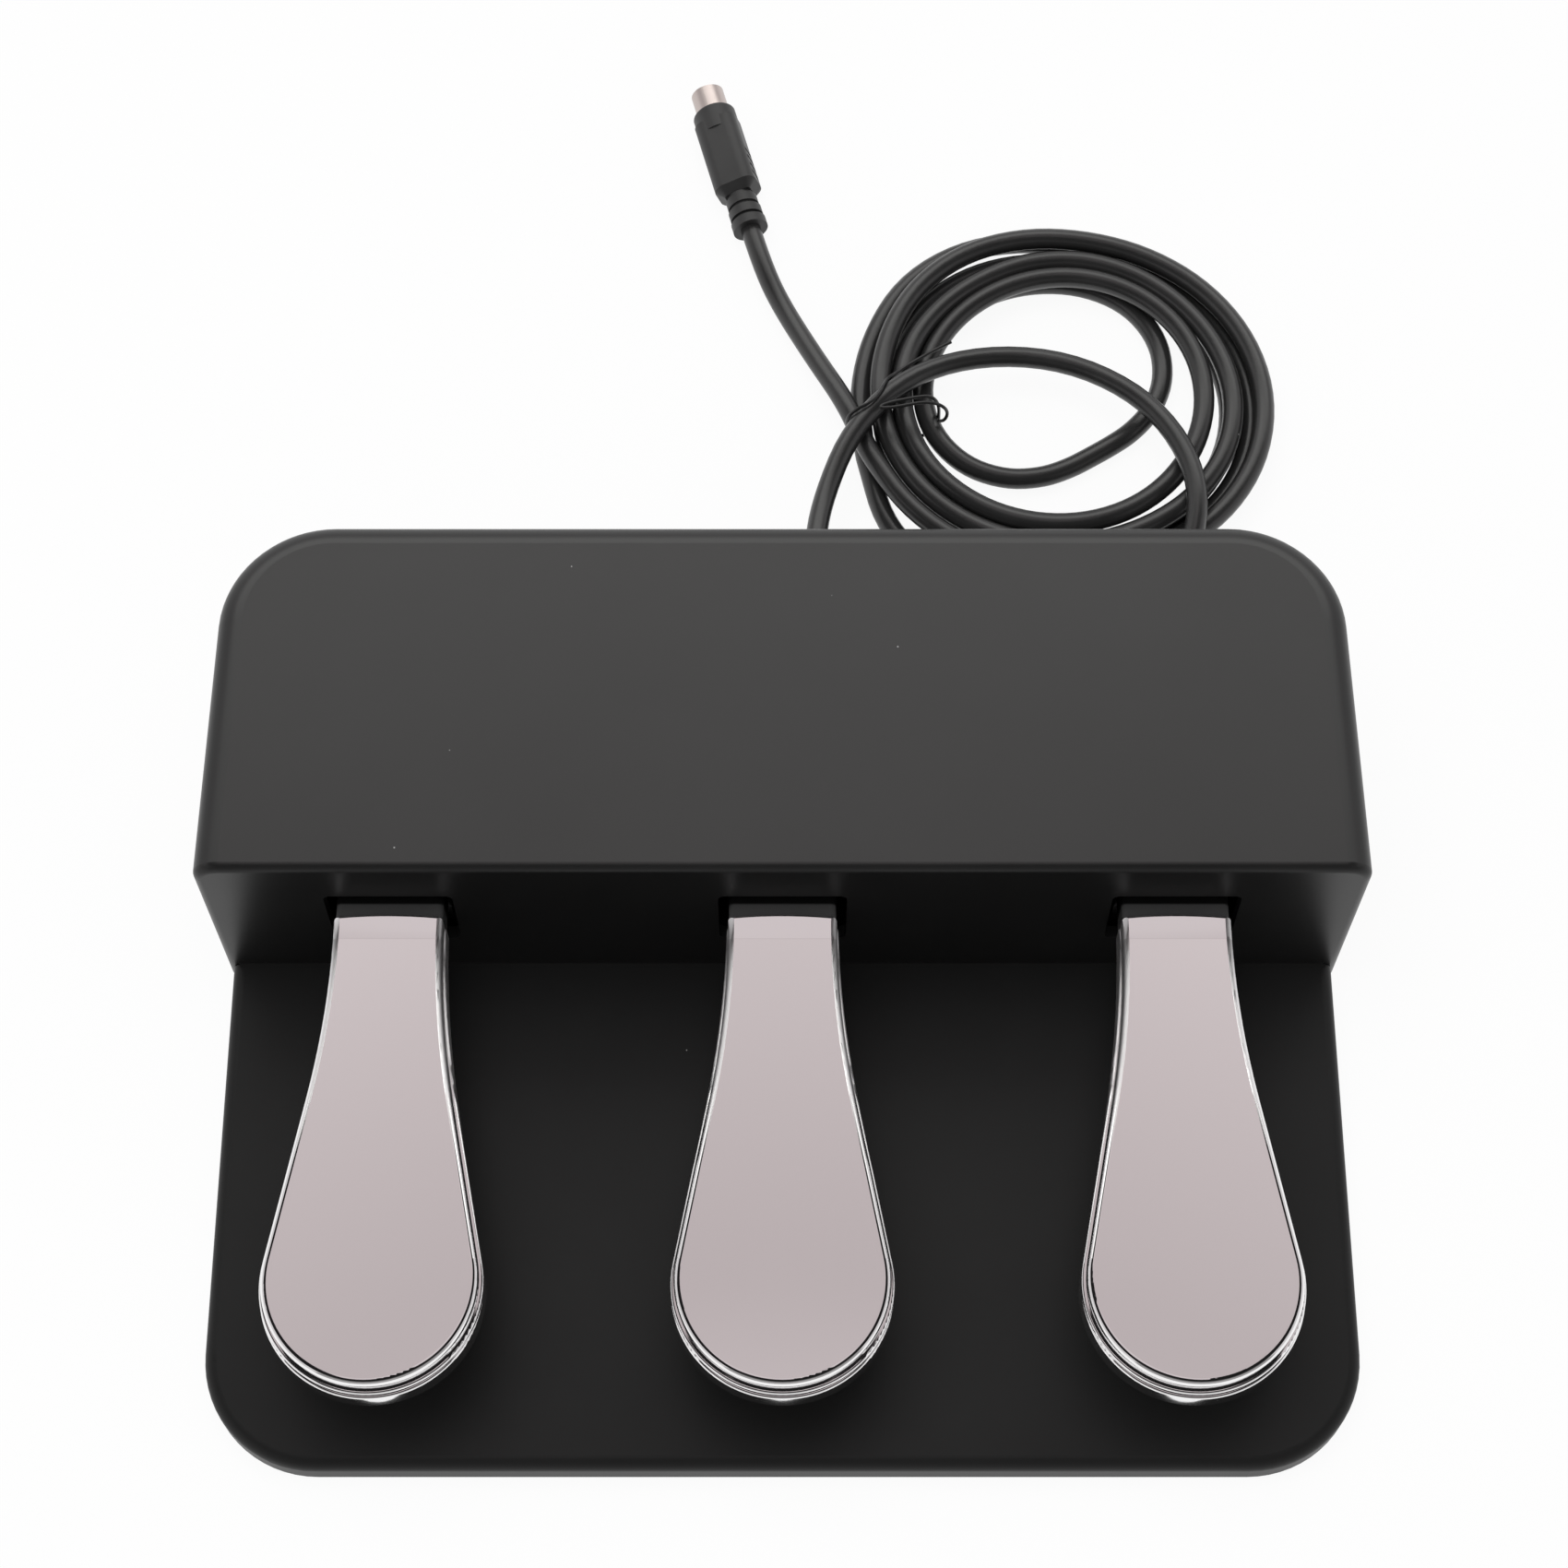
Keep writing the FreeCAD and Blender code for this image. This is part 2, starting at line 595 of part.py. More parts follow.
def make_bracket():
    inner = lever_half + cheek_play
    outer = inner + bracket_wall
    y0 = pivot_y - bracket_front
    y1 = pivot_y + bracket_rear
    floor_top = plate_top + bracket_wall
    ledge_top = lever_under - felt_depth - stop_gap
    channel = block(-outer, outer, y0, y1, plate_top, bracket_top)
    channel = channel.cut(block(-inner, inner, y0 - 1, y1 + 1, floor_top, bracket_top + 1))
    tops = [e for e in channel.Edges if e.Length < bracket_wall + 0.1
            and abs(e.CenterOfMass.z - bracket_top) < 1e-6]
    channel = channel.makeFillet(cheek_corner, tops)
    rear = block(-inner, inner, y1 - bracket_wall, y1, floor_top, ledge_top)
    ledge = block(-inner + ledge_inset, inner - ledge_inset, y1 - bracket_wall - felt_length - felt_margin,
                  y1 - bracket_wall + bite, ledge_top - bracket_wall, ledge_top)
    body = fuse([channel, rear, ledge])
    cuts = [bar(pin_radius + pin_seat_play, -outer - 1, outer + 1, pivot_y, pivot_z)]
    cuts += [post(bracket_screw_radius + screw_play, side * bracket_screw_offset,
                  pivot_y - bracket_screw_forward, plate_top - 1, floor_top + 1) for side in (-1, 1)]
    return body.cut(cuts)


def make_felt():
    y1 = pivot_y + bracket_rear - bracket_wall
    return block(-lever_half + felt_margin, lever_half - felt_margin, y1 - felt_length, y1 - stop_gap,
                 lever_under - felt_depth - stop_gap, lever_under - stop_gap)


def make_pin():
    outer = lever_half + cheek_play + bracket_wall
    end_x = outer + pin_stub
    shank = bar(pin_radius, -outer - bite, end_x, pivot_y, pivot_z)
    end = [e for e in shank.Edges if abs(e.CenterOfMass.x - end_x) < 1e-6 and len(e.Vertexes) == 1]
    shank = shank.makeChamfer(pin_chamfer, end)
    head = bar(pin_head, -outer - pin_head_depth, -outer, pivot_y, pivot_z)
    return shank.fuse(head).removeSplitter()


def make_stop():
    pad = block(-stop_half, stop_half, stop_front, stop_front + stop_length, stop_seat_z, stop_top_z)
    return pad.makeChamfer(stop_chamfer, level_edges(pad, stop_top_z, lambda c: True))


def make_switch():
    body = block(-switch_half, switch_half, board_y - switch_half, board_y + switch_half, board_top,
                 board_top + switch_height)
    body = body.makeFillet(switch_corner, upright_edges(body, lambda p: True))
    collar = post(plunger_radius + collar_wall, 0, board_y, board_top + switch_height - bite,
                  board_top + switch_height + collar_height)
    foot = board_top + switch_height - plunger_inside - plunger_travel - plunger_bore_foot
    bore = post(plunger_radius + plunger_bore_play, 0, board_y, foot, pedal_top)
    return fuse([body, collar]).cut(bore)


def make_plunger():
    foot = board_top + switch_height - plunger_inside
    body = post(plunger_radius, 0, board_y, foot, plunger_crown)
    ball = Part.makeSphere(plunger_dome, Vector(0, board_y, plunger_crown - plunger_dome))
    above = post(plunger_radius + 1, 0, board_y, plunger_crown - plunger_dome, plunger_crown + 1)
    return body.cut(above.cut(ball))


# Wound and bent rods: straight runs and arcs, swept as one tube

def arc_through(start, corner, end):
    """The arc that leaves start towards corner and reaches end from corner."""
    half = (end - start).Length / 2
    share = half / (corner - start).Length
    middle = (start + corner * (2 * share) + end) * (1 / (2 + 2 * share))
    return Part.Arc(start, middle, end).toShape()


def biarc(p0, t0, p1, t1):
    """Two tangent arcs from p0, leaving along t0, to p1, arriving along t1."""
    v = p1 - p0
    t = t0 + t1
    spread = 2 * (1 - t0.dot(t1))
    reach = (-v.dot(t) + math.sqrt(v.dot(t) ** 2 + spread * v.dot(v))) / spread
    q0 = p0 + t0 * reach
    q1 = p1 - t1 * reach
    joint = (q0 + q1) * 0.5
    return [arc_through(p0, q0, joint), arc_through(joint, q1, p1)]


def section(start, direction, diameter, facets):
    """A closed round section, or a regular polygon of the same area, square to the direction."""
    if facets == 0:
        return Part.Wire(Part.makeCircle(diameter / 2, start, direction))
    side = direction.cross(Vector(0, 0, 1))
    side.normalize()
    up = side.cross(direction)
    up.normalize()
    step = 2 * math.pi / facets
    r = diameter / 2 * math.sqrt(step / math.sin(step))
    ring = [start + side * (r * math.cos((i + 0.5) * step)) + up * (r * math.sin((i + 0.5) * step))
            for i in range(facets)]
    return Part.makePolygon(ring + ring[:1])


def swept(edges, diameter, facets):
    wire = Part.Wire(edges)
    first = edges[0]
    start = first.valueAt(first.FirstParameter)
    direction = first.tangentAt(first.FirstParameter)
    return wire.makePipeShell([section(start, direction, diameter, facets)], True, False)


def least_gap(points, diameter, clear_run):
    """The least gap of a tube to itself, over stretches further apart along it than clear_run."""
    step = (points[1] - points[0]).Length
    skip = int(clear_run / step)
    least = 1e9
    for i in range(0, len(points), 2):
        for j in range(i + skip, len(points)):
            gap = (points[i] - points[j]).Length
            if gap < least:
                least = gap
    return least - diameter


def spring_solid():
    foot = plate_top + spring_play + spring_wire / 2
    top = web_under - spring_play - spring_wire / 2
    rise = (top - foot) / spring_turns
    slope = rise / (2 * math.pi * spring_radius)

    def at(half_turns):
        a = math.pi * half_turns
        point = Vector(spring_radius * math.cos(a), spring_y + spring_radius * math.sin(a),
                       foot + rise * half_turns / 2)
        tangent = Vector(-math.sin(a), math.cos(a), slope)
        tangent.normalize()
        return point, tangent

    edges = []
    for i in range(2 * spring_turns):
        p0, t0 = at(i)
        p1, t1 = at(i + 1)
        edges += biarc(p0, t0, p1, t1)
    return swept(edges, spring_wire, 6), edges


# The cord's coil: in on the lower layer, up at the reversal, out on the upper layer

def loose_share(turned):
    """Where in the loose turn this is: 0 at its deepest point, 1 and -1 where it meets the bundle."""
    share = (turned - coil_total_angle / 2 + loose_before) / loose_half
    return max(-1.0, min(1.0, share))


def coil_radius(turned):
    """Radius after so many degrees of turning from the coil's start."""
    middle = coil_total_angle / 2
    wound = coil_start_radius - coil_pitch * (middle - abs(turned - middle)) / 360
    return wound - loose_depth * math.cos(math.pi / 2 * loose_share(turned)) ** 2


def coil_place(turned):
    """Centre and direction of the cord in the coil; the turns run clockwise from above."""
    a = math.radians(coil_start_angle - turned)
    r = coil_radius(turned)
    past = turned - coil_total_angle / 2
    rate = coil_pitch / (2 * math.pi) * (-1 if past < 0 else 1)
    rate += loose_depth * math.pi / (2 * math.radians(loose_half)) * math.sin(math.pi * loose_share(turned))
    climbed = max(0.0, min(1.0, (past + climb_half) / (2 * climb_half)))
    slope = (layer_high - layer_low) / math.radians(2 * climb_half) if 0 < climbed < 1 else 0
    point = Vector(coil_x + r * math.cos(a), coil_y + r * math.sin(a),
                   layer_low + (layer_high - layer_low) * climbed)
    direction = Vector(r * math.sin(a) + rate * math.cos(a), -r * math.cos(a) + rate * math.sin(a), slope)
    direction.normalize()
    return point, direction


def evenly(start, end, longest):
    """Stops from start to end, as far apart as they may be."""
    count = math.ceil(abs(end - start) / longest - 1e-9)
    return [start + (end - start) * i / count for i in range(1, count + 1)]


def coil_edges():
    middle = coil_total_angle / 2
    loose_start = middle - loose_before - loose_half
    stops = [0.0] + evenly(0.0, loose_start, 180)
    stops += evenly(loose_start, middle - climb_half, 45)
    stops += evenly(middle - climb_half, middle + climb_half, 45)
    stops += evenly(middle + climb_half, coil_total_angle, 180)
    start, direction = coil_place(0)
    edges = [Part.LineSegment(start - direction * cord, start).toShape()]
    for a, b in zip(stops, stops[1:]):
        p0, t0 = coil_place(a)
        p1, t1 = coil_place(b)
        edges += biarc(p0, t0, p1, t1)
    end, direction = coil_place(coil_total_angle)
    edges.append(Part.LineSegment(end, end + direction * cord).toShape())
    return edges


def route_edges(points, label):
    """Straight runs joined by tangent arcs, each arc as large as its two runs allow."""
    edges = []
    last = points[0]
    radii = []
    for a, b, c in zip(points, points[1:], points[2:]):
        into = b - a
        out = c - b
        shorter = min(into.Length, out.Length)
        half_turn = into.getAngle(out) / 2
        cut = 0.45 * shorter
        radii.append(cut / math.tan(half_turn))
        p0 = b - into * (cut / into.Length)
        p1 = b + out * (cut / out.Length)
        edges.append(Part.LineSegment(last, p0).toShape())
        edges.append(arc_through(p0, b, p1))
        last = p1
    edges.append(Part.LineSegment(last, points[-1]).toShape())
    print(label, "radii", [round(r, 1) for r in radii])
    return edges


def report_tube(label, shape, edges, diameter):
    length = sum(e.Length for e in edges)
    ratio = shape.Volume / (math.pi * diameter ** 2 / 4 * length)
    print(label, "length", round(length, 1), "volume over section times length", round(ratio, 4),
          "valid", shape.isValid(), "faces", len(shape.Faces))


def sampled(edges, spacing):
    points = []
    for edge in edges:
        count = max(2, int(edge.Length / spacing))
        points += edge.discretize(count)[:-1]
    return points


over_coil = layer_high + coil_layer + 0.05
coil_start, coil_start_way = coil_place(0)
coil_start = coil_start - coil_start_way * cord
coil_end, coil_end_way = coil_place(coil_total_angle)
coil_end = coil_end + coil_end_way * cord

# The lead: out of the gland, over the tied bundle, across the opening, over the turns on the
# right, round behind the box on the floor and into the coil's lower layer
lead_points = [
    Vector(exit_x, rear_y + gland_reach, exit_z),
    Vector(exit_x, rear_y + gland_reach + lead_straight, exit_z),
    Vector(10.7, 144.0, over_coil - 0.9),
    Vector(18.0, 163.0, over_coil + 0.4),
    Vector(33.0, 179.5, over_coil + 0.3),
    Vector(53.5, 187.5, over_coil - 2.5),
    Vector(76.0, 186.0, over_coil - 3.4),
    Vector(95.0, 173.5, over_coil - 1.4),
    Vector(105.5, 155.5, over_coil + 0.5),
    Vector(107.5, 138.0, over_coil + 0.3),
    Vector(101.5, 122.5, 12.6),
    Vector(88.0, 113.8, 8.0),
    Vector(70.0, 112.2, 4.6),
    Vector(51.0, 117.0, 3.4),
    Vector(37.0, 129.5, 3.6),
    coil_start - coil_start_way * coil_lead_in,
    coil_start,
]

# The tail: down off the coil's upper layer to the floor and into the plug's boot
tail_points = [
    coil_end,
    coil_end + coil_end_way * coil_run_out,
    Vector(8.6, 190.3, 7.0),
    Vector(-0.6, 208.6, 4.8),
    boot_root - plug_axis * coil_run_out,
    boot_root,
]


def make_gland():
    y = rear_y
    at_wall = Vector(exit_x, y, exit_z)
    out = Vector(0, 1, 0)
    flange = Part.makeCylinder(gland_flange, gland_flange_depth, at_wall, out)
    nose = Part.makeCone(gland_flange - gland_step, cord / 2 + gland_tip_wall,
                         gland_reach - gland_flange_depth, at_wall + out * gland_flange_depth, out)
    neck = Part.makeCylinder(gland_radius - screw_play, box_wall, at_wall, -out)
    inner = Part.makeCylinder(gland_flange - gland_step, gland_flange_depth, at_wall - out * box_wall, -out)
    return fuse([flange, nose, neck, inner])


def make_tie():
    a = math.radians(tie_angle)
    out = Vector(math.cos(a), math.sin(a), 0)
    play = cord / 2 + tie_play + tie_wire / 2
    inner = coil_radius(coil_total_angle / 2) - play
    outer = coil_start_radius + tie_slack + play
    low = tie_wire / 2
    high = over_coil + play + tie_play
    corners = [(inner, low), (outer, low), (outer, high), (inner, high)]
    points = [Vector(coil_x, coil_y, z) + out * r for r, z in corners]
    edges = []
    count = len(points)
    for i in range(count):
        before, here, after = points[i - 1], points[i], points[(i + 1) % count]
        into = here - before
        into.normalize()
        onward = after - here
        onward.normalize()
        p0 = here - into * tie_corner
        p1 = here + onward * tie_corner
        edges.append(arc_through(p0, here, p1))
        edges.append(Part.LineSegment(p1, after - onward * tie_corner).toShape())
    wire = Part.Wire(edges)
    start = edges[0].valueAt(edges[0].FirstParameter)
    direction = edges[0].tangentAt(edges[0].FirstParameter)
    return wire.makePipeShell([Part.Wire(Part.makeCircle(tie_wire / 2, start, direction))], True, False)


# Plug: ringed strain relief, moulded grip, round metal shell and its insert

def plug_place(shape):
    """Turns a shape built along +Y from the origin onto the plug's axis."""
    shape.rotate(Vector(0, 0, 0), Vector(0, 1, 0), -plug_roll)
    shape.rotate(Vector(0, 0, 0), Vector(0, 0, 1), plug_lean)
    shape.translate(boot_root)
    return shape


def make_boot():
    step = boot_length / boot_rings
    out = Vector(0, 1, 0)
    sleeve = Part.makeCylinder(cord / 2 + boot_wall, boot_length, Vector(0, 0, 0), out)
    rings = [Part.makeCylinder(boot_radius - boot_taper * i / (boot_rings - 1), step * boot_ring_share,
                               out * (step * i), out) for i in range(boot_rings)]
    return plug_place(fuse([sleeve] + rings))


def make_plug():
    y1 = boot_length + plug_length
    body = block(-plug_width / 2, plug_width / 2, boot_length, y1 - collar_length, -plug_height / 2,
                 plug_height / 2)
    long_edges = [e for e in body.Edges if abs(e.Length - plug_length + collar_length) < 1e-6]
    body = body.makeFillet(plug_corner, long_edges)
    ends = [e for e in body.Edges if all(abs(v.Point.y - boot_length) < 1e-6 for v in e.Vertexes)]
    body = body.makeChamfer(plug_chamfer, ends)
    collar = Part.makeCylinder(collar_radius, collar_length + plug_corner,
                               Vector(0, y1 - collar_length - plug_corner, 0), Vector(0, 1, 0))
    collar = collar.makeFillet(collar_edge, [e for e in collar.Edges
                                             if abs(e.CenterOfMass.y - y1) < 1e-6 and len(e.Vertexes) == 1])
    grooves = []
    for i in range(groove_count):
        y = boot_length + groove_start + i * groove_pitch
        for side in (-1, 1):
            x = side * plug_width / 2
            grooves.append(block(x - groove_depth, x + groove_depth, y, y + groove_width,
                                 -groove_half_height, groove_half_height))
    return plug_place(body.cut(grooves).fuse(collar).removeSplitter())


def make_shell():
    y0 = boot_length + plug_length
    tube = Part.makeCylinder(shell_radius, shell_length, Vector(0, y0, 0), Vector(0, 1, 0))
    bore = Part.makeCylinder(shell_radius - shell_wall, shell_length, Vector(0, y0 + shell_floor, 0),
                             Vector(0, 1, 0))
    key = block(-key_half, key_half, y0 + key_start, y0 + shell_length + 1, -shell_radius - 1,
                key_depth - shell_radius)
    key.rotate(Vector(0, 0, 0), Vector(0, 1, 0), key_turn)
    return plug_place(tube.cut([bore, key]))


def make_insert():
    y0 = boot_length + plug_length
    puck = Part.makeCylinder(shell_radius - shell_wall - pin_play, insert_depth, Vector(0, y0 + shell_floor, 0),
                             Vector(0, 1, 0))
    pins = []
    for i in range(pin_count):
        a = math.radians(120 + i * 300 / (pin_count - 1))
        root = Vector(contact_circle * math.cos(a), y0 + shell_floor + bite, contact_circle * math.sin(a))
        pins.append(Part.makeCylinder(contact_radius, contact_length, root, Vector(0, 1, 0)))
    pins.append(block(-key_half, key_half, y0 + shell_floor + bite, y0 + contact_length, -contact_radius,
                      contact_radius))
    return plug_place(fuse([puck] + pins))


def make_board():
    board_half = pedal_pitch + board_overhang
    board = block(-board_half, board_half, board_y - board_depth / 2, board_y + board_depth / 2, board_bottom,
                  board_top)
    return board.cut([post(bracket_screw_radius + screw_play, x, y, board_bottom - 1, board_top + 1)
                      for x, y in board_posts()])


def make_header():
    y1 = board_y + board_depth / 2 - board_inset
    body = block(header_x - header_width / 2, header_x + header_width / 2, y1 - header_depth, y1, board_top,
                 board_top + header_height)
    return body.makeFillet(header_corner, upright_edges(body, lambda p: True))


def make_wires():
    inside_y = rear_y - box_wall - gland_flange_depth
    lane_y = inside_y - wire_lane
    header_y = board_y + board_depth / 2 - board_inset
    z = board_top + header_height / 2
    points = [Vector(exit_x, inside_y, exit_z), Vector(exit_x, lane_y, exit_z), Vector(header_x, lane_y, exit_z),
              Vector(header_x, header_y + wire_lead_in, z), Vector(header_x, header_y, z)]
    edges = route_edges(points, "inner wires")
    tube = swept(edges, 2 * wire_radius, 0)
    report_tube("inner wires", tube, edges, 2 * wire_radius)
    return tube


def moved(shape, x):
    copy = shape.copy()
    copy.translate(Vector(x, 0, 0))
    return copy


def build():
    nodes["housing"] = make_housing()
    nodes["base_plate"] = make_plate()
    nodes["bottom_sheet"] = make_sheet()
    feet = [post(foot_radius, x, y, 0, foot_height) for x, y in mirrored(foot_places)]
    feet.append(post(foot_radius, 0, foot_places[0][1], 0, foot_height))
    rounded = [f.makeFillet(foot_edge, level_edges(f, 0, lambda c: True)) for f in feet]
    nodes["feet"] = Part.makeCompound(rounded)
    nodes["housing_screws"] = Part.makeCompound(
        [screw(post_bore, box_screw_head, box_screw_head_depth, plate_top + post_bore_depth - bite, skin_under,
               x, y) for x, y in mirrored(post_places)])
    nodes["sheet_screws"] = Part.makeCompound(
        [screw(sheet_screw_radius, sheet_screw_head, sheet_screw_head_depth, plate_top - sheet_screw_skin,
               foot_height, x, y) for x, y in mirrored(sheet_screw_places)])
    nodes["bracket_screws"] = Part.makeCompound(
        [screw(bracket_screw_radius, bracket_screw_head, bracket_screw_head_depth,
               plate_top + bracket_wall - bracket_screw_reach + bite, plate_top + bracket_wall, x, y)
         for x, y in bracket_screw_spots()])
    nodes["board_screws"] = Part.makeCompound(
        [screw(bracket_screw_radius, bracket_screw_head, bracket_screw_head_depth,
               board_bottom - board_screw_reach, board_top, x, y) for x, y in board_posts()])
    nodes["circuit_board"] = make_board()
    nodes["wire_header"] = make_header()
    nodes["inner_wires"] = make_wires()
    nodes["cord_gland"] = make_gland()

    spring, spring_edges = spring_solid()
    report_tube("spring", spring, spring_edges, spring_wire)
    per_pedal = {
        "lever": make_lever(), "cap": make_cap(), "cap_tray": make_tray(), "hinge_bracket": make_bracket(),
        "rest_felt": make_felt(), "pivot_pin": make_pin(), "down_stop": make_stop(), "switch": make_switch(),
        "switch_plunger": make_plunger(), "return_spring": spring,
        "cap_screws": Part.makeCompound(
            [screw(cap_screw_radius, cap_screw_head, cap_screw_head_depth, cap_ceiling - cap_screw_bite,
                   tray_under, 0, y) for y in cap_screw_ys()])}
    for name in pedal_names:
        for piece, shape in per_pedal.items():
            nodes[name + "_" + piece] = moved(shape, pedal_x[name])

    edges = route_edges(lead_points, "cord lead")
    nodes["cord_lead"] = swept(edges, cord, 0)
    report_tube("cord lead", nodes["cord_lead"], edges, cord)
    edges = route_edges(tail_points, "cord tail")
    nodes["cord_tail"] = swept(edges, cord, 0)
    report_tube("cord tail", nodes["cord_tail"], edges, cord)
    edges = coil_edges()
    nodes["cord_coil"] = swept(edges, cord, coil_facets)
    report_tube("cord coil", nodes["cord_coil"], edges, cord)
    print("coil's least gap to itself", round(least_gap(sampled(edges, 1.5), cord, 4 * cord), 3))
    nodes["cord_tie"] = make_tie()
    nodes["plug_boot"] = make_boot()
    nodes["plug_body"] = make_plug()
    nodes["plug_shell"] = make_shell()
    nodes["plug_insert"] = make_insert()


build()
os.makedirs("parts", exist_ok=True)
total = 0
for name, shape in nodes.items():
    shape.exportStep("parts/" + name + ".step")
    total += len(shape.Faces)
    if not shape.isValid():
        print("not valid:", name)
print(len(nodes), "nodes,", total, "faces, full press lowers the tip by",
      round(pedal_top - pressed(tip_y - tip_radius, pedal_top)[1], 2))
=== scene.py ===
# %% [markdown]
# # A triple piano pedal unit
#
# The object stands on the floor under a digital piano: a low moulded plate with a deep box at its
# back, three chromed pedals that reach out of slots in the box, and a signal cord that lies coiled
# behind it, held by a twist of wire. The solids come from the CAD model, already in place and in
# metres. This lesson adds what a solid lacks: the way the cord really lies, the finishes, and the
# small parts that repeat, which Geometry Nodes make.

# %% Load the solids
import math

import bmesh
import bpy
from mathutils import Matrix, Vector


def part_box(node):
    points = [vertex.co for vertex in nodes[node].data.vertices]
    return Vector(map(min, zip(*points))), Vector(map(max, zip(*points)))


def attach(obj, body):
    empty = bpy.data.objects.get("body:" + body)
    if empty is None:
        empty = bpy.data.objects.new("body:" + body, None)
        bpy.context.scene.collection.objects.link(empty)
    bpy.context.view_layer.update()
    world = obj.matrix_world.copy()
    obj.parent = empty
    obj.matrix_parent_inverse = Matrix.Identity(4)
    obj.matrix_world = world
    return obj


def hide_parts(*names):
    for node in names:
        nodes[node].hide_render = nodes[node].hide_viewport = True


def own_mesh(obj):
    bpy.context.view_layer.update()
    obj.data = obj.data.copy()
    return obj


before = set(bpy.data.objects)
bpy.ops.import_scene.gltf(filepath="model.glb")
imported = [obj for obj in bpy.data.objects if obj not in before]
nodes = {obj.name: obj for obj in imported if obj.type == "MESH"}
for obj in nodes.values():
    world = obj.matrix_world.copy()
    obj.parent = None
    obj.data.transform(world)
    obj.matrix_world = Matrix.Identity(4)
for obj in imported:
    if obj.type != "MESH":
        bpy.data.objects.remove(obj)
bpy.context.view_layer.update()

MM = 0.001
scene = bpy.context.scene
PEDALS = {"left": -0.0915, "centre": 0.0, "right": 0.0915}  # how far each is to the right

# %% [markdown]
# ## The camera
#
# The photograph looks down on the unit from in front, steeply enough to show the box's top, and
# from close by, so that the rear looks narrower than the front. A camera is a point, a tilt and a
# focal length. The tilt and the distance come from how fast the sides draw together, and a slight
# sideways shift keeps the middle pedal where the photograph has it.

# %% The camera
CAMERA_PLACE = (0.0, -0.27765, 0.7534)
CAMERA_TILT = 24.7           # degrees away from straight down
CAMERA_LENS = 75.41
CAMERA_SHIFT = 0.00094
CAMERA_SENSOR = 36.0
CAMERA_NEAR = 0.05

camera_data = bpy.data.cameras.new("camera")
camera_data.sensor_fit = "HORIZONTAL"
camera_data.sensor_width = CAMERA_SENSOR
camera_data.lens = CAMERA_LENS
camera_data.shift_x = CAMERA_SHIFT
camera_data.clip_start = CAMERA_NEAR
camera = bpy.data.objects.new("camera", camera_data)
camera.location = CAMERA_PLACE
camera.rotation_euler = (math.radians(CAMERA_TILT), 0.0, 0.0)
scene.collection.objects.link(camera)
scene.camera = camera
print("camera", CAMERA_PLACE, "lens", CAMERA_LENS)

# %% [markdown]
# ## The cord
#
# A signal cord is one length of soft tube, so it is one spline: out of the gland, over the tied
# bundle, across the opening of the coil, round behind the box, six turns of coil, and out to the
# plug. A NURBS spline of order 3 suits it, because such a curve bends evenly between its control
# points and never kinks. The coil's turns come from a formula rather than from placed points: the
# radius shrinks at a steady rate while the turns go in on the floor, and grows again while they
# come out on top. A neat spiral would look machine-wound, so each turn also drifts a little, most
# where the wire tie doesn't hold it.

# %% The coil's formula
CORD = 5.5 * MM              # diameter
COIL_MIDDLE = (73.0 * MM, 177.4 * MM)
COIL_RADIUS = 52.5 * MM      # of the cord's centre on the outermost turn
COIL_PITCH = 6.2 * MM        # from one turn to the next
COIL_START = -165.0          # degrees, where the cord runs into the coil
COIL_TOTAL = 2155.0          # degrees of turning, clockwise from above
LAYER_LOW = 3.9 * MM         # height of the cord's centre in the lower layer
LAYER_HIGH = 9.9 * MM        # and in the upper one
CLIMB_TURN = 180.0           # degrees of turning over which the cord climbs to its upper layer
POINTS_PER_TURN = 18

# Where loose turns leave the neat spiral: how far through the coil, how wide a stretch, and by how
# much in millimetres. The innermost turn hangs far into the opening, the outer ones bulge out. The
# stretches miss the tie, where all the turns lie close together.
LOOSE_TURNS = ((970.0, 128.0, -18.5), (68.0, 46.0, 3.4), (211.0, 70.0, 2.4), (428.0, 46.0, 1.2),
               (571.0, 75.0, 2.8), (640.0, 60.0, 1.0), (1230.0, 90.0, 1.4), (1510.0, 45.0, -1.2),
               (1649.0, 62.0, 2.3), (1870.0, 50.0, 2.2), (2010.0, 95.0, 4.2))
TIGHT_AT = 4.0               # turning, less whole turns, where the tie draws the turns together
TIGHT_WIDTH = 85.0           # degrees to either side of it
TIGHT_SHARE = 0.105          # of the pitch


def looseness(turned):
    """How far outside the neat spiral the cord lies here."""
    out = 0.0
    for middle, half_width, amount in LOOSE_TURNS:
        away = abs(turned - middle) / half_width
        if away < 1:
            out += amount * MM * math.cos(away * math.pi / 2) ** 2
    return out


def tightness(turned):
    """How much closer together the turns lie here, most at the tie."""
    away = abs((turned - TIGHT_AT + 180) % 360 - 180) / TIGHT_WIDTH
    return TIGHT_SHARE * math.cos(min(away, 1) * math.pi / 2) ** 2


def coil_point(turned):
    """The cord's centre after so many degrees of turning."""
    middle = COIL_TOTAL / 2
    angle = math.radians(COIL_START - turned)
    depth = middle - abs(turned - middle)
    # control points stand a little outside the curve that they draw
    outside = 1 / math.cos(math.pi / POINTS_PER_TURN)
    inwards = COIL_PITCH * depth / 360 * (1 - tightness(turned))
    radius = (COIL_RADIUS - inwards + looseness(turned)) * outside
    climb = min(max((turned - middle) / CLIMB_TURN + 0.5, 0), 1)
    height = LAYER_LOW + (LAYER_HIGH - LAYER_LOW) * climb * climb * (3 - 2 * climb)
    x, y = COIL_MIDDLE
    return Vector((x + radius * math.cos(angle), y + radius * math.sin(angle), height))


def coil_heading(turned):
    """The cord's direction there."""
    return (coil_point(turned + 1) - coil_point(turned - 1)).normalized()


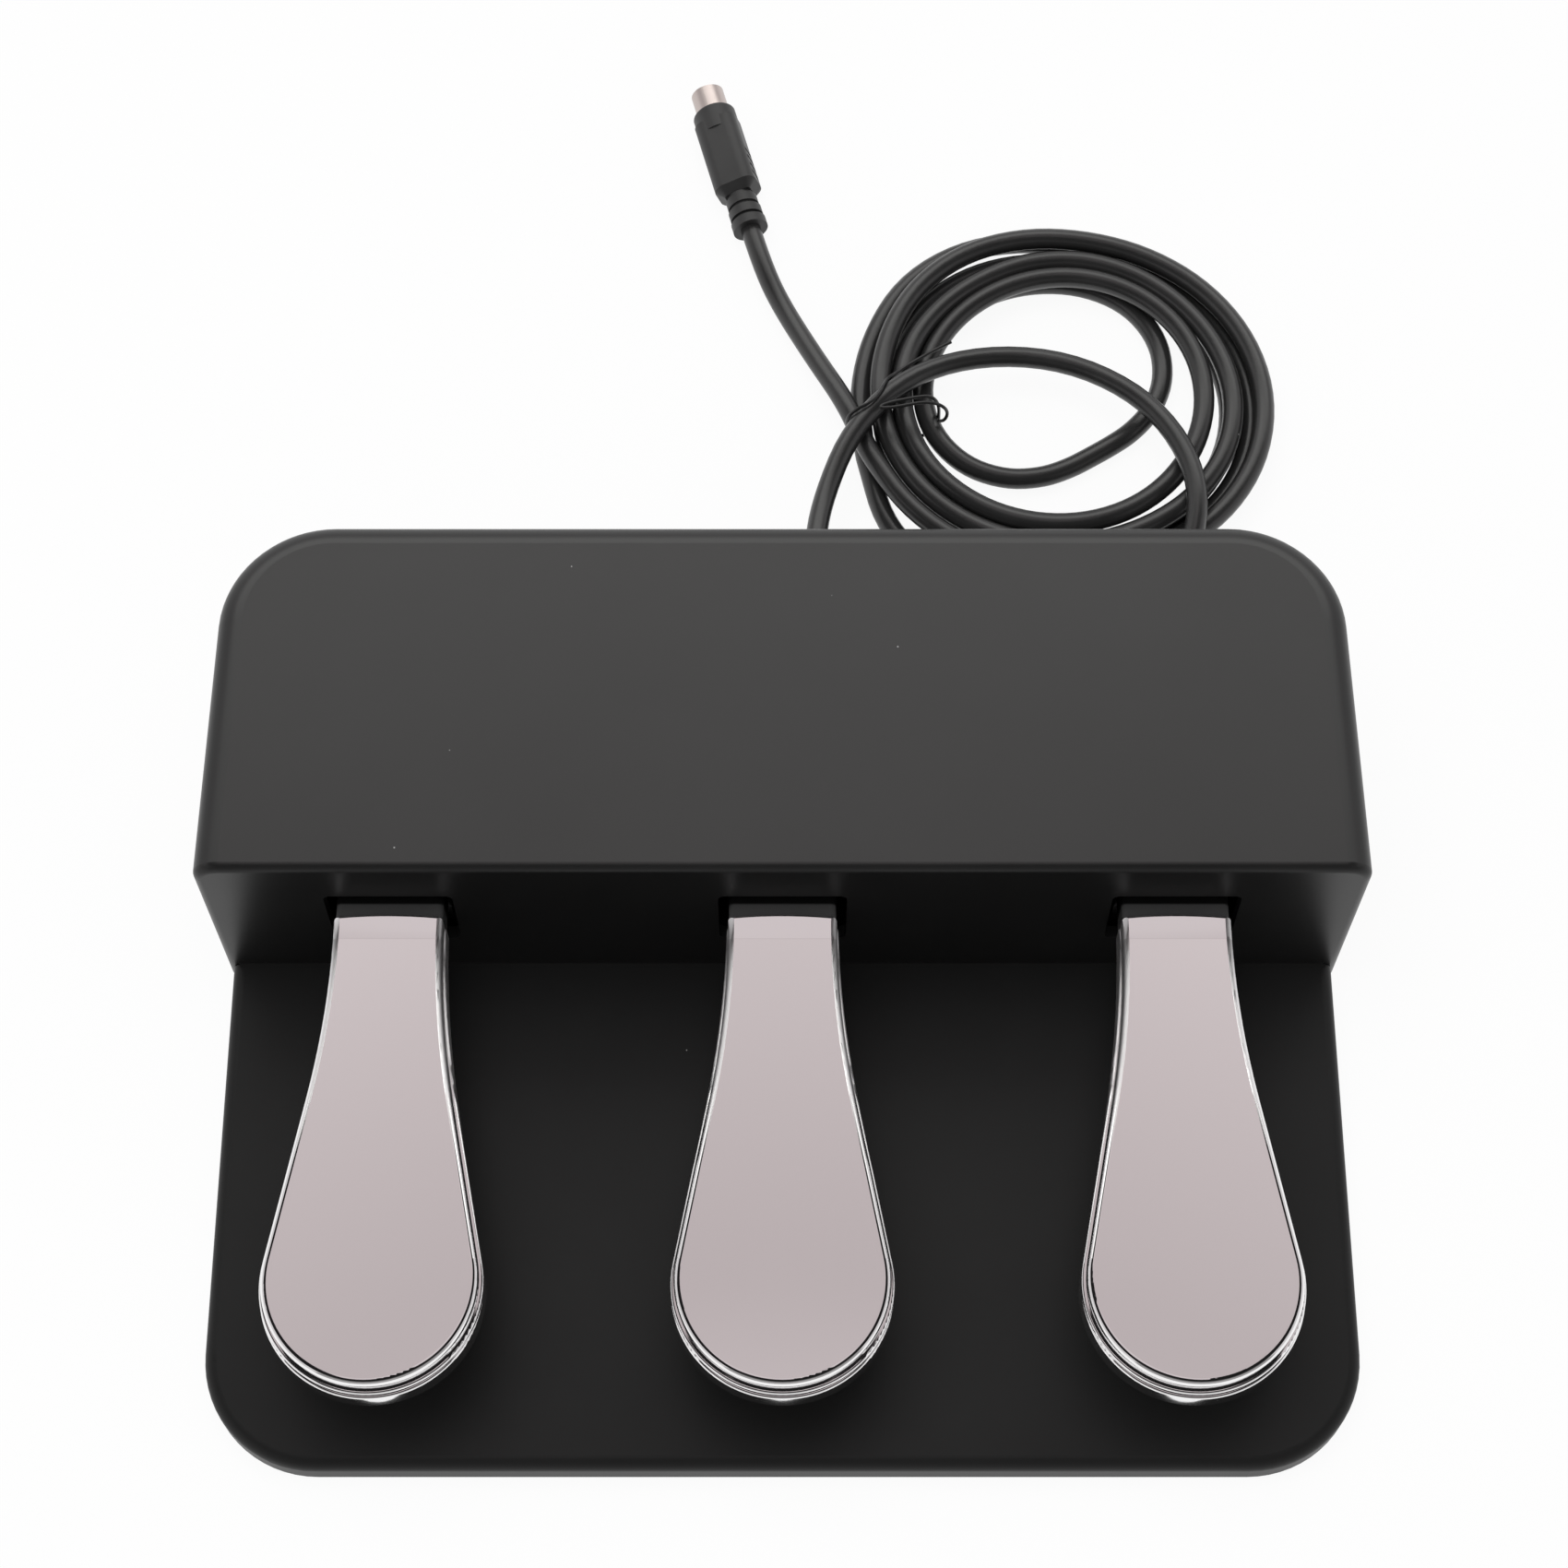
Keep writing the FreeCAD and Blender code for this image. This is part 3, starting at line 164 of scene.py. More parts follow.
print("coil's outer radius", COIL_RADIUS, "turns", round(COIL_TOTAL / 360, 2))

# %% The cord's route
GLAND_END = Vector((8.0, 115.15, 17.0)) * MM   # where the cord comes out of the box
OVER_COIL = 15.95            # millimetres, centre of a cord that lies on the coil
PLUG_LEAN = math.radians(15.3)
PLUG_AXIS = Vector((-math.sin(PLUG_LEAN), math.cos(PLUG_LEAN), 0.0))
BOOT_ROOT = Vector((-8.6, 231.6, 6.222)) * MM  # where it goes into the plug
RUN_IN = 17.0 * MM           # nearly straight stretch before the coil
RUN_OUT = 12.0 * MM          # and the same after the coil and before the plug

coil_first = coil_point(0) - coil_heading(1) * CORD
coil_last = coil_point(COIL_TOTAL) + coil_heading(COIL_TOTAL - 1) * CORD
# all in millimetres: from the gland to the coil, and from the coil to the plug
LEAD_POINTS = ((8.0, 128.15, 17.0), (10.7, 144.0, OVER_COIL - 0.9), (18.0, 163.0, OVER_COIL + 0.4),
               (33.0, 179.5, OVER_COIL + 0.3), (53.5, 187.5, OVER_COIL - 2.5),
               (76.0, 186.0, OVER_COIL - 3.4), (95.0, 173.5, OVER_COIL - 1.4),
               (105.5, 155.5, OVER_COIL + 0.5), (107.5, 138.0, OVER_COIL + 0.3),
               (101.5, 122.5, 12.6), (88.0, 113.8, 8.0), (70.0, 112.2, 4.6), (51.0, 117.0, 3.4),
               (37.0, 129.5, 3.6))
TAIL_POINTS = ((8.6, 190.3, 7.0), (-0.6, 208.6, 4.8))

route = [GLAND_END] + [Vector(p) * MM for p in LEAD_POINTS]
route += [coil_first - coil_heading(1) * RUN_IN, coil_first]
steps = round(COIL_TOTAL / 360 * POINTS_PER_TURN)
route += [coil_point(COIL_TOTAL * i / steps) for i in range(steps + 1)]
route += [coil_last, coil_last + coil_heading(COIL_TOTAL - 1) * RUN_OUT]
route += [Vector(p) * MM for p in TAIL_POINTS] + [BOOT_ROOT - PLUG_AXIS * RUN_OUT, BOOT_ROOT]
print("points on the route", len(route))

# %% The cord itself
CURVE_ORDER = 3
ROUNDNESS = 6                # smoothness of a tube's round section


def tube_along(name, points, diameter, resolution):
    """A round tube on one NURBS spline."""
    curve = bpy.data.curves.new(name, "CURVE")
    curve.dimensions = "3D"
    curve.bevel_depth = diameter / 2
    curve.bevel_resolution = ROUNDNESS
    curve.use_fill_caps = True
    curve.resolution_u = resolution
    curve.render_resolution_u = resolution
    spline = curve.splines.new("NURBS")
    spline.points.add(len(points) - 1)
    for place, point in zip(spline.points, points):
        place.co = (*point, 1.0)
    spline.order_u = CURVE_ORDER
    spline.use_endpoint_u = True
    spline.use_smooth = True
    made = bpy.data.objects.new(name, curve)
    scene.collection.objects.link(made)
    return made


cord = tube_along("signal_cord", route, CORD, resolution=5)
print("cord", len(route), "control points, diameter", CORD)

# %% [markdown]
# ## The wire tie
#
# A cord is sold tied with a short plastic-covered wire, wound once round the bundle and twisted
# shut. It is bent wire, so a thin NURBS tube is right again. Its points are written in a small
# frame of their own, across the bundle: how far from the coil's middle, how high, and how far
# along the cord. One end lies free on the turns and the other curls down into the opening, as when
# somebody has opened the tie and shut it.

# %% The tie
TIE_WIRE = 0.9 * MM
TIE_ANGLE = math.radians(191.0)  # where on the coil it is, anticlockwise from the right
tie_out = Vector((math.cos(TIE_ANGLE), math.sin(TIE_ANGLE), 0.0))
tie_along = Vector((-tie_out.y, tie_out.x, 0.0))
coil_axis = Vector((*COIL_MIDDLE, 0.0))
TIE_IN = 32.4                # inner side of the loop, outer side and top, in millimetres
TIE_OUT = 56.4
TIE_TOP = (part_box("cord_tie")[1].z - TIE_WIRE / 2) / MM

TIE_POINTS = ((25.2, 13.1, -19.3), (30.0, 13.3, -17.6), (36.0, 13.3, -15.2), (41.6, 13.6, -12.4),
              (44.6, 16.8, -9.4), (46.6, TIE_TOP + 0.1, -5.6), (48.8, TIE_TOP + 0.3, -2.6),
              (51.4, TIE_TOP + 0.3, -1.0), (54.4, TIE_TOP - 0.4, -0.4), (57.4, TIE_TOP - 3.4, 0.0),
              (TIE_OUT + 0.6, TIE_TOP - 9.0, 0.1), (TIE_OUT, 6.0, 0.0),
              (TIE_OUT - 0.6, 1.6, 0.0), (52.0, 0.5, -0.1), (44.0, 0.5, 0.0), (35.5, 0.5, 0.1),
              (TIE_IN, 1.6, 0.0), (TIE_IN, 7.0, -0.2), (TIE_IN + 0.2, TIE_TOP - 5.0, -0.4),
              (TIE_IN + 2.4, TIE_TOP - 0.6, -0.5), (38.0, TIE_TOP + 0.1, -0.5), (44.0, TIE_TOP + 0.3, -0.3),
              (48.2, TIE_TOP + 0.5, 0.3), (48.8, TIE_TOP + 0.7, 1.3), (45.0, TIE_TOP + 0.6, 1.7),
              (39.0, TIE_TOP + 0.4, 1.4), (TIE_IN + 2.6, TIE_TOP - 0.4, 1.5),
              (TIE_IN - 0.2, TIE_TOP - 2.8, 1.7), (TIE_IN - 1.6, TIE_TOP - 5.6, 1.8),
              (TIE_IN - 1.5, TIE_TOP - 8.2, 2.1),
              (TIE_IN - 0.2, TIE_TOP - 9.4, 2.5), (TIE_IN + 0.9, TIE_TOP - 8.2, 2.7))
tie_route = [coil_axis + tie_out * (r * MM) + tie_along * (t * MM) + Vector((0, 0, z * MM))
             for r, z, t in TIE_POINTS]
tie = tube_along("cord_twist_tie", tie_route, TIE_WIRE, resolution=8)
print("tie", len(TIE_POINTS), "points, wire", TIE_WIRE)

# %% [markdown]
# ## Light, floor and background
#
# The photograph was taken in a white studio, and chrome has hardly any colour of its own, so the
# room is most of its look. Overhead hangs a greyish pink panel: the flat tops of the pedals mirror
# that. Its far end is bright, and the box's top catches that. Round the panel it is dark, and this
# draws the thin black lines along the rims. Further down the walls go from a pale grey to white,
# but for the side where the camera stands, where the dark fades to a darker wall. A world shader
# can be such a room: rays that light the object get an even pale grey, mirrored rays get the
# panel, the dark and the walls by their direction, and the camera sees plain white. One wide soft
# lamp from above gives the shadow under the pedals.

# %% Helpers for nodes
def add(tree, kind, **settings):
    """A new node. A setting is a property, or an input's value where it starts with a capital."""
    made = tree.nodes.new(kind)
    for name, value in settings.items():
        if name[0].isupper():
            made.inputs[name.replace("_", " ")].default_value = value
        else:
            setattr(made, name, value)
    return made


def math_node(tree, operation, first, second):
    """Arithmetic on two numbers or sockets."""
    made = add(tree, "ShaderNodeMath", operation=operation)
    for socket, value in zip(made.inputs, (first, second)):
        if isinstance(value, bpy.types.NodeSocket):
            tree.links.new(value, socket)
        else:
            socket.default_value = value
    return made.outputs[0]


def split_up(tree, vector):
    """The x, y and z of a vector."""
    made = add(tree, "ShaderNodeSeparateXYZ")
    tree.links.new(vector, made.inputs[0])
    return list(made.outputs)


print("node helpers ready")

# %% Helpers for masks
RISING = (0.0, 1.0)
FALLING = (1.0, 0.0)


def smooth_step(tree, value, ends, results=RISING):
    """Goes smoothly from the first result to the second while the value passes both ends."""
    made = add(tree, "ShaderNodeMapRange", interpolation_type="SMOOTHSTEP",
               From_Min=ends[0], From_Max=ends[1], To_Min=results[0], To_Max=results[1])
    tree.links.new(value, made.inputs["Value"])
    return made.outputs["Result"]


def cover(tree, below, above, mask):
    """One colour over another, where the mask says."""
    made = add(tree, "ShaderNodeMix", data_type="RGBA")
    tree.links.new(mask, made.inputs["Factor"])
    for socket, colour in (("A", below), ("B", above)):
        if isinstance(colour, bpy.types.NodeSocket):
            tree.links.new(colour, made.inputs[socket])
        else:
            made.inputs[socket].default_value = colour
    return made.outputs["Result"]


print("mask helpers ready")

# %% The room's colours and where they end
# All these ends are parts of a direction of length one: sideways, away from the camera, or up.
PANEL_STOPS = ((0.85, (2.1, 2.1, 2.06)), (0.91, (0.70, 0.63, 0.637)), (0.96, (0.53, 0.47, 0.477)),
               (0.985, (0.665, 0.60, 0.61)))  # heights, and the panel's colour there
PANEL_SIDE = (0.19, 0.23)    # where its sides fade out, left and right
PANEL_WIDE = (0.38, 0.46)    # but it has no sides beyond this
PANEL_FRONT = (-0.15, -0.08)  # its front edge
PANEL_LOW = (0.50, 0.62)     # where it ends above the far wall
WHITE = (1.0, 1.0, 1.0, 1.0)
DARK = (0.012, 0.012, 0.012, 1.0)
DARK_FROM = (0.60, 0.68)     # the dark round the panel begins at this height
WALL_GREY = (0.66, 0.64, 0.645, 1.0)
WALL_FADE = (0.02, 0.26)     # the walls go from white to this grey between these heights
CAMERA_GREY = (0.36, 0.35, 0.35, 1.0)
CAMERA_DUSK = (0.42, 0.82)   # the camera side goes from this grey to the dark between these heights
CAMERA_WAY = (0.17, -0.985, 0.0)  # towards the middle of the camera side
CAMERA_SPREAD = (0.60, 0.72)  # how far it reaches round: the cosine of the angle from its middle
CAMERA_FLOOR = (0.02, 0.10)  # where it begins over the floor
ROOM_LIGHT = 0.52
ROOM_TINT = (1.0, 0.985, 0.985, 1.0)
print("room: light level", ROOM_LIGHT)

# %% The panel overhead, as a mirror sees it
world = bpy.data.worlds.new("studio")
scene.world = world
world.use_nodes = True
room = world.node_tree
room.nodes.clear()
direction = add(room, "ShaderNodeTexCoord").outputs["Generated"]
across, away, up = split_up(room, direction)

ramp = add(room, "ShaderNodeValToRGB")
room.links.new(up, ramp.inputs["Fac"])
for _ in PANEL_STOPS[2:]:
    ramp.color_ramp.elements.new(0.5)
for stop, (place, colour) in zip(ramp.color_ramp.elements, PANEL_STOPS):
    stop.position = place
    stop.color = (*colour, 1.0)
sideways = math_node(room, "ABSOLUTE", across, 0.0)
panel = math_node(room, "MAXIMUM", smooth_step(room, sideways, PANEL_SIDE, FALLING),
                  smooth_step(room, away, PANEL_WIDE))
for value, ends in ((away, PANEL_FRONT), (up, PANEL_LOW)):
    panel = math_node(room, "MULTIPLY", panel, smooth_step(room, value, ends))
print("panel with", len(PANEL_STOPS), "stops")

# %% The rest of that room
flat_way = add(room, "ShaderNodeVectorMath", operation="MULTIPLY")
room.links.new(direction, flat_way.inputs[0])
flat_way.inputs[1].default_value = (1.0, 1.0, 0.0)
level_way = add(room, "ShaderNodeVectorMath", operation="NORMALIZE")
room.links.new(flat_way.outputs[0], level_way.inputs[0])
towards = add(room, "ShaderNodeVectorMath", operation="DOT_PRODUCT")
room.links.new(level_way.outputs[0], towards.inputs[0])
towards.inputs[1].default_value = CAMERA_WAY
behind_camera = math_node(room, "MULTIPLY", smooth_step(room, towards.outputs["Value"], CAMERA_SPREAD),
                          smooth_step(room, up, CAMERA_FLOOR))
dark = math_node(room, "MAXIMUM", behind_camera, smooth_step(room, up, DARK_FROM))
low_wall = math_node(room, "MULTIPLY", behind_camera, smooth_step(room, up, CAMERA_DUSK, FALLING))

in_mirrors = WHITE
for above, mask in ((WALL_GREY, smooth_step(room, up, WALL_FADE)), (DARK, dark), (CAMERA_GREY, low_wall),
                    (ramp.outputs["Color"], panel)):
    in_mirrors = cover(room, in_mirrors, above, mask)
print("walls, dark and camera side are in")

# %% What each kind of ray sees
mirrored = add(room, "ShaderNodeBackground")
room.links.new(in_mirrors, mirrored.inputs["Color"])
lighting = add(room, "ShaderNodeBackground", Color=ROOM_TINT, Strength=ROOM_LIGHT)
white = add(room, "ShaderNodeBackground", Color=WHITE, Strength=1.0)
rays = add(room, "ShaderNodeLightPath")
direct = math_node(room, "MAXIMUM", rays.outputs["Is Camera Ray"], rays.outputs["Is Transmission Ray"])
shown = lighting.outputs[0]
for which, other in ((rays.outputs["Is Glossy Ray"], mirrored), (direct, white)):
    choice = add(room, "ShaderNodeMixShader")
    room.links.new(which, choice.inputs[0])
    room.links.new(shown, choice.inputs[1])
    room.links.new(other.outputs[0], choice.inputs[2])
    shown = choice.outputs[0]
room_out = add(room, "ShaderNodeOutputWorld")
room.links.new(shown, room_out.inputs["Surface"])
print("mirrors see the room, the camera sees white")

# %% The lamp and the floor
LAMP_POWER = 17.0
LAMP_SIZE = 1.3
LAMP_PLACE = (-0.25, 0.15, 1.8)
FLOOR_SIZE = 12.0
PAPER_TONE = 0.93
PAPER_ROUGHNESS = 0.8
PAPER_SHINE = 0.1
PAPER_GLOW = 0.93            # share of plain white that the camera and the chrome see

lamp_data = bpy.data.lights.new("soft_lamp", "AREA")
lamp_data.energy = LAMP_POWER
lamp_data.size = LAMP_SIZE
lamp = bpy.data.objects.new("soft_lamp", lamp_data)
lamp.location = LAMP_PLACE
lamp.rotation_euler = (-Vector(LAMP_PLACE)).to_track_quat("-Z", "Y").to_euler()
lamp.visible_glossy = False
scene.collection.objects.link(lamp)

floor_mesh = bpy.data.meshes.new("studio_floor")
edge = FLOOR_SIZE / 2
corners = [(-edge, -edge, 0), (edge, -edge, 0), (edge, edge, 0), (-edge, edge, 0)]
floor_mesh.from_pydata(corners, [], [(0, 1, 2, 3)])
floor = bpy.data.objects.new("studio_floor", floor_mesh)
scene.collection.objects.link(floor)
paper = bpy.data.materials.new("studio_paper")
paper.use_nodes = True
tree = paper.node_tree
paper_shader = tree.nodes["Principled BSDF"]
paper_shader.inputs["Base Color"].default_value = (PAPER_TONE, PAPER_TONE, PAPER_TONE, 1.0)
paper_shader.inputs["Roughness"].default_value = PAPER_ROUGHNESS
paper_shader.inputs["Specular IOR Level"].default_value = PAPER_SHINE
glow = add(tree, "ShaderNodeEmission", Strength=1.0)
rays = add(tree, "ShaderNodeLightPath")
seen = math_node(tree, "MAXIMUM", rays.outputs["Is Camera Ray"], rays.outputs["Is Glossy Ray"])
seen = math_node(tree, "MAXIMUM", seen, rays.outputs["Is Transmission Ray"])
blend = add(tree, "ShaderNodeMixShader")
tree.links.new(math_node(tree, "MULTIPLY", seen, PAPER_GLOW), blend.inputs[0])
tree.links.new(paper_shader.outputs[0], blend.inputs[1])
tree.links.new(glow.outputs[0], blend.inputs[2])
tree.links.new(blend.outputs[0], tree.nodes["Material Output"].inputs["Surface"])
floor_mesh.materials.append(paper)
scene.view_settings.view_transform = "Standard"
print("lamp", LAMP_POWER, "W, floor", FLOOR_SIZE, "m")

# %% [markdown]
# ## Effects that several finishes share
#
# Moulded plastic, rubber and painted steel look different, but each has a fine grain that breaks up
# its shine and a slow drift of tone, and what lies open gathers a few specks of dust. Bright metal
# shows the marks of wiping. Each effect is a node group with named sockets, built once and set
# differently in every material. The groups read the piece's own coordinates, so a pattern stays on
# the piece when a pedal moves.


# %% Building a group
def new_group(name, inputs, outputs):
    """An empty shader group with its sockets; returns the group and its input and output nodes."""
    group = bpy.data.node_groups.new(name, "ShaderNodeTree")
    for label, kind, value in inputs:
        socket = group.interface.new_socket(label, in_out="INPUT", socket_type="NodeSocket" + kind)
        if value is not None:
            socket.default_value = value
    for label, kind in outputs:
        group.interface.new_socket(label, in_out="OUTPUT", socket_type="NodeSocket" + kind)
    return group, group.nodes.new("NodeGroupInput"), group.nodes.new("NodeGroupOutput")


def scaled_noise(tree, vector, scale, detail, roughness=0.5):
    """Noise whose scale comes from a socket."""
    noise = add(tree, "ShaderNodeTexNoise", Detail=detail, Roughness=roughness)
    tree.links.new(vector, noise.inputs["Vector"])
    tree.links.new(scale, noise.inputs["Scale"])
    return noise.outputs["Fac"]


print("group helper ready")

# %% Grain: a fine relief, and a shine that varies with it
CLOUD_SCALE = 0.012          # scale of the broad noise, as a share of the fine one's
FINE_SHARE = 0.4             # how much the shine follows the fine noise; the broad one has the rest
NOISE_MEAN = 0.5

grain, grain_in, grain_out = new_group(
    "surface_grain",
    [("Vector", "Vector", None), ("Scale", "Float", 2500.0), ("Roughness", "Float", 0.4),
     ("Spread", "Float", 0.1)],
    [("Height", "Float"), ("Roughness", "Float")])
fine = scaled_noise(grain, grain_in.outputs["Vector"], grain_in.outputs["Scale"], detail=2.0)
broad_scale = math_node(grain, "MULTIPLY", grain_in.outputs["Scale"], CLOUD_SCALE)
broad = scaled_noise(grain, grain_in.outputs["Vector"], broad_scale, detail=3.0)
together = math_node(grain, "ADD", math_node(grain, "MULTIPLY", fine, FINE_SHARE),
                     math_node(grain, "MULTIPLY", broad, 1 - FINE_SHARE))
offset = math_node(grain, "SUBTRACT", together, NOISE_MEAN)
rough = math_node(grain, "ADD", grain_in.outputs["Roughness"],
                  math_node(grain, "MULTIPLY", offset, grain_in.outputs["Spread"]))
grain.links.new(fine, grain_out.inputs["Height"])
grain.links.new(rough, grain_out.inputs["Roughness"])
print("group", grain.name)

# %% Drift: a slow change between two tones
DRIFT_RANGE = (0.3, 0.7)     # the noise seldom goes beyond these

drift, drift_in, drift_out = new_group(
    "tone_drift",
    [("Vector", "Vector", None), ("Scale", "Float", 12.0), ("First", "Color", (0, 0, 0, 1)),
     ("Second", "Color", (1, 1, 1, 1))],
    [("Color", "Color")])
slow = scaled_noise(drift, drift_in.outputs["Vector"], drift_in.outputs["Scale"], detail=4.0, roughness=0.6)
full = add(drift, "ShaderNodeMapRange", From_Min=DRIFT_RANGE[0], From_Max=DRIFT_RANGE[1])
drift.links.new(slow, full.inputs["Value"])
tones = cover(drift, drift_in.outputs["First"], drift_in.outputs["Second"], full.outputs["Result"])
drift.links.new(tones, drift_out.inputs["Color"])
print("group", drift.name)

# %% Dust: a few small pale specks
dust, dust_in, dust_out = new_group(
    "dust_specks",
    [("Vector", "Vector", None), ("Scale", "Float", 260.0), ("Size", "Float", 0.05),
     ("Share", "Float", 0.03)],
    [("Mask", "Float")])
cells = add(dust, "ShaderNodeTexVoronoi")
dust.links.new(dust_in.outputs["Vector"], cells.inputs["Vector"])
dust.links.new(dust_in.outputs["Scale"], cells.inputs["Scale"])
near = math_node(dust, "LESS_THAN", cells.outputs["Distance"], dust_in.outputs["Size"])
lucky = add(dust, "ShaderNodeSeparateColor")
dust.links.new(cells.outputs["Color"], lucky.inputs[0])
chosen = math_node(dust, "LESS_THAN", lucky.outputs[0], dust_in.outputs["Share"])
dust.links.new(math_node(dust, "MULTIPLY", near, chosen), dust_out.inputs["Mask"])
print("group", dust.name)

# %% Wiping: long faint marks that a cloth or a shoe leaves
SMEAR_SCALE = 0.03           # scale of the smears, as a share of the marks'

wiping, wiping_in, wiping_out = new_group(
    "wiping_marks",
    [("Vector", "Vector", None), ("Scale", "Float", 900.0), ("Stretch", "Vector", (1.0, 0.05, 1.0)),
     ("Roughness", "Float", 0.05), ("Spread", "Float", 0.05)],
    [("Height", "Float"), ("Roughness", "Float")])
stretched = add(wiping, "ShaderNodeVectorMath", operation="MULTIPLY")
wiping.links.new(wiping_in.outputs["Vector"], stretched.inputs[0])
wiping.links.new(wiping_in.outputs["Stretch"], stretched.inputs[1])
marks = scaled_noise(wiping, stretched.outputs[0], wiping_in.outputs["Scale"], detail=3.0)
smear_scale = math_node(wiping, "MULTIPLY", wiping_in.outputs["Scale"], SMEAR_SCALE)
smears = scaled_noise(wiping, wiping_in.outputs["Vector"], smear_scale, detail=2.0)
both = math_node(wiping, "MULTIPLY", marks, smears)
rough = math_node(wiping, "ADD", wiping_in.outputs["Roughness"],
                  math_node(wiping, "MULTIPLY", both, wiping_in.outputs["Spread"]))
wiping.links.new(marks, wiping_out.inputs["Height"])
wiping.links.new(rough, wiping_out.inputs["Roughness"])
print("group", wiping.name)

# %% [markdown]
# ## Finishes
#
# Most pieces here are one substance with a grain, so their finishes differ by numbers only, and
# one function makes them from a table: two tones to drift between, the roughness and its spread,
# how fine and how deep the grain is, how metallic, how strong the reflection at a straight look.
# The housing's sides were drawn out of a coarser mould than its top, so they reflect less. A lever
# has a painted shade in its colour where it enters its slot, where no lamp reaches in.
#
# Black plastic hardly has a tone of its own. Nearly all that the camera sees on it is the room,
# blurred by the grain, so its reflection matters more than its colour.


# %% Helpers for finishes
def place_group(tree, group, coords, **settings):
    """A group in a material, reading the piece's coordinates."""
    made = add(tree, "ShaderNodeGroup", node_tree=group)
    tree.links.new(coords, made.inputs["Vector"])
    for name, value in settings.items():
        made.inputs[name].default_value = value
    return made


def start_finish(name):
    """A material, its node tree, its shader and the coordinates of the piece."""
    made = bpy.data.materials.new(name)
    made.use_nodes = True
    tree = made.node_tree
    return made, tree, tree.nodes["Principled BSDF"], add(tree, "ShaderNodeTexCoord").outputs["Object"]


def grey(value, warmth=0.0):
    """A grey, redder by the warmth."""
    return (value * (1 + warmth), value, value * (1 - warmth), 1.0)


def bump_from(tree, shader, height, depth):
    """A relief so many metres deep."""
    bump = add(tree, "ShaderNodeBump", Strength=1.0, Distance=depth)
    tree.links.new(height, bump.inputs["Height"])
    tree.links.new(bump.outputs["Normal"], shader.inputs["Normal"])


print("finish helpers ready")

# %% A finish from numbers
# painted shade: the colour a lever takes inside its slot, where no lamp reaches
SLOT_SHADE = grey(0.006)
DUST_TONE = grey(0.35)
UPWARD = (0.75, 0.99)        # the Z of a normal, from a side to a top


def make_finish(name, first, second, roughness, spread=0.1, scale=2500.0, depth=4e-6, metallic=0.0,
                reflection=0.5, sides=None, drift_scale=14.0, dusty=0.0, sheen=0.0, painted_shade=None):
    """One finish; sides is the reflection of upright faces. The span along Y, if given, is where shade is
    painted into the colour.
    """
    made, tree, shader, coords = start_finish(name)
    tone = place_group(tree, drift, coords, Scale=drift_scale, First=first, Second=second).outputs["Color"]
    # shade painted into the colour along this stretch of Y
    if painted_shade:
        along = split_up(tree, coords)[1]
        tone = cover(tree, tone, SLOT_SHADE, smooth_step(tree, along, painted_shade))
    if dusty:
        specks = place_group(tree, dust, coords, Share=dusty).outputs["Mask"]
        tone = cover(tree, tone, DUST_TONE, specks)
    tree.links.new(tone, shader.inputs["Base Color"])
    texture = place_group(tree, grain, coords, Scale=scale, Roughness=roughness, Spread=spread)
    tree.links.new(texture.outputs["Roughness"], shader.inputs["Roughness"])
    bump_from(tree, shader, texture.outputs["Height"], depth)
    shader.inputs["Metallic"].default_value = metallic
    shader.inputs["Specular IOR Level"].default_value = reflection
    if sides is not None:
        level = split_up(tree, coords.node.outputs["Normal"])[2]
        tree.links.new(smooth_step(tree, level, UPWARD, (sides, reflection)),
                       shader.inputs["Specular IOR Level"])
    shader.inputs["Sheen Weight"].default_value = sheen
    return made


print("one function for all moulded and painted finishes")

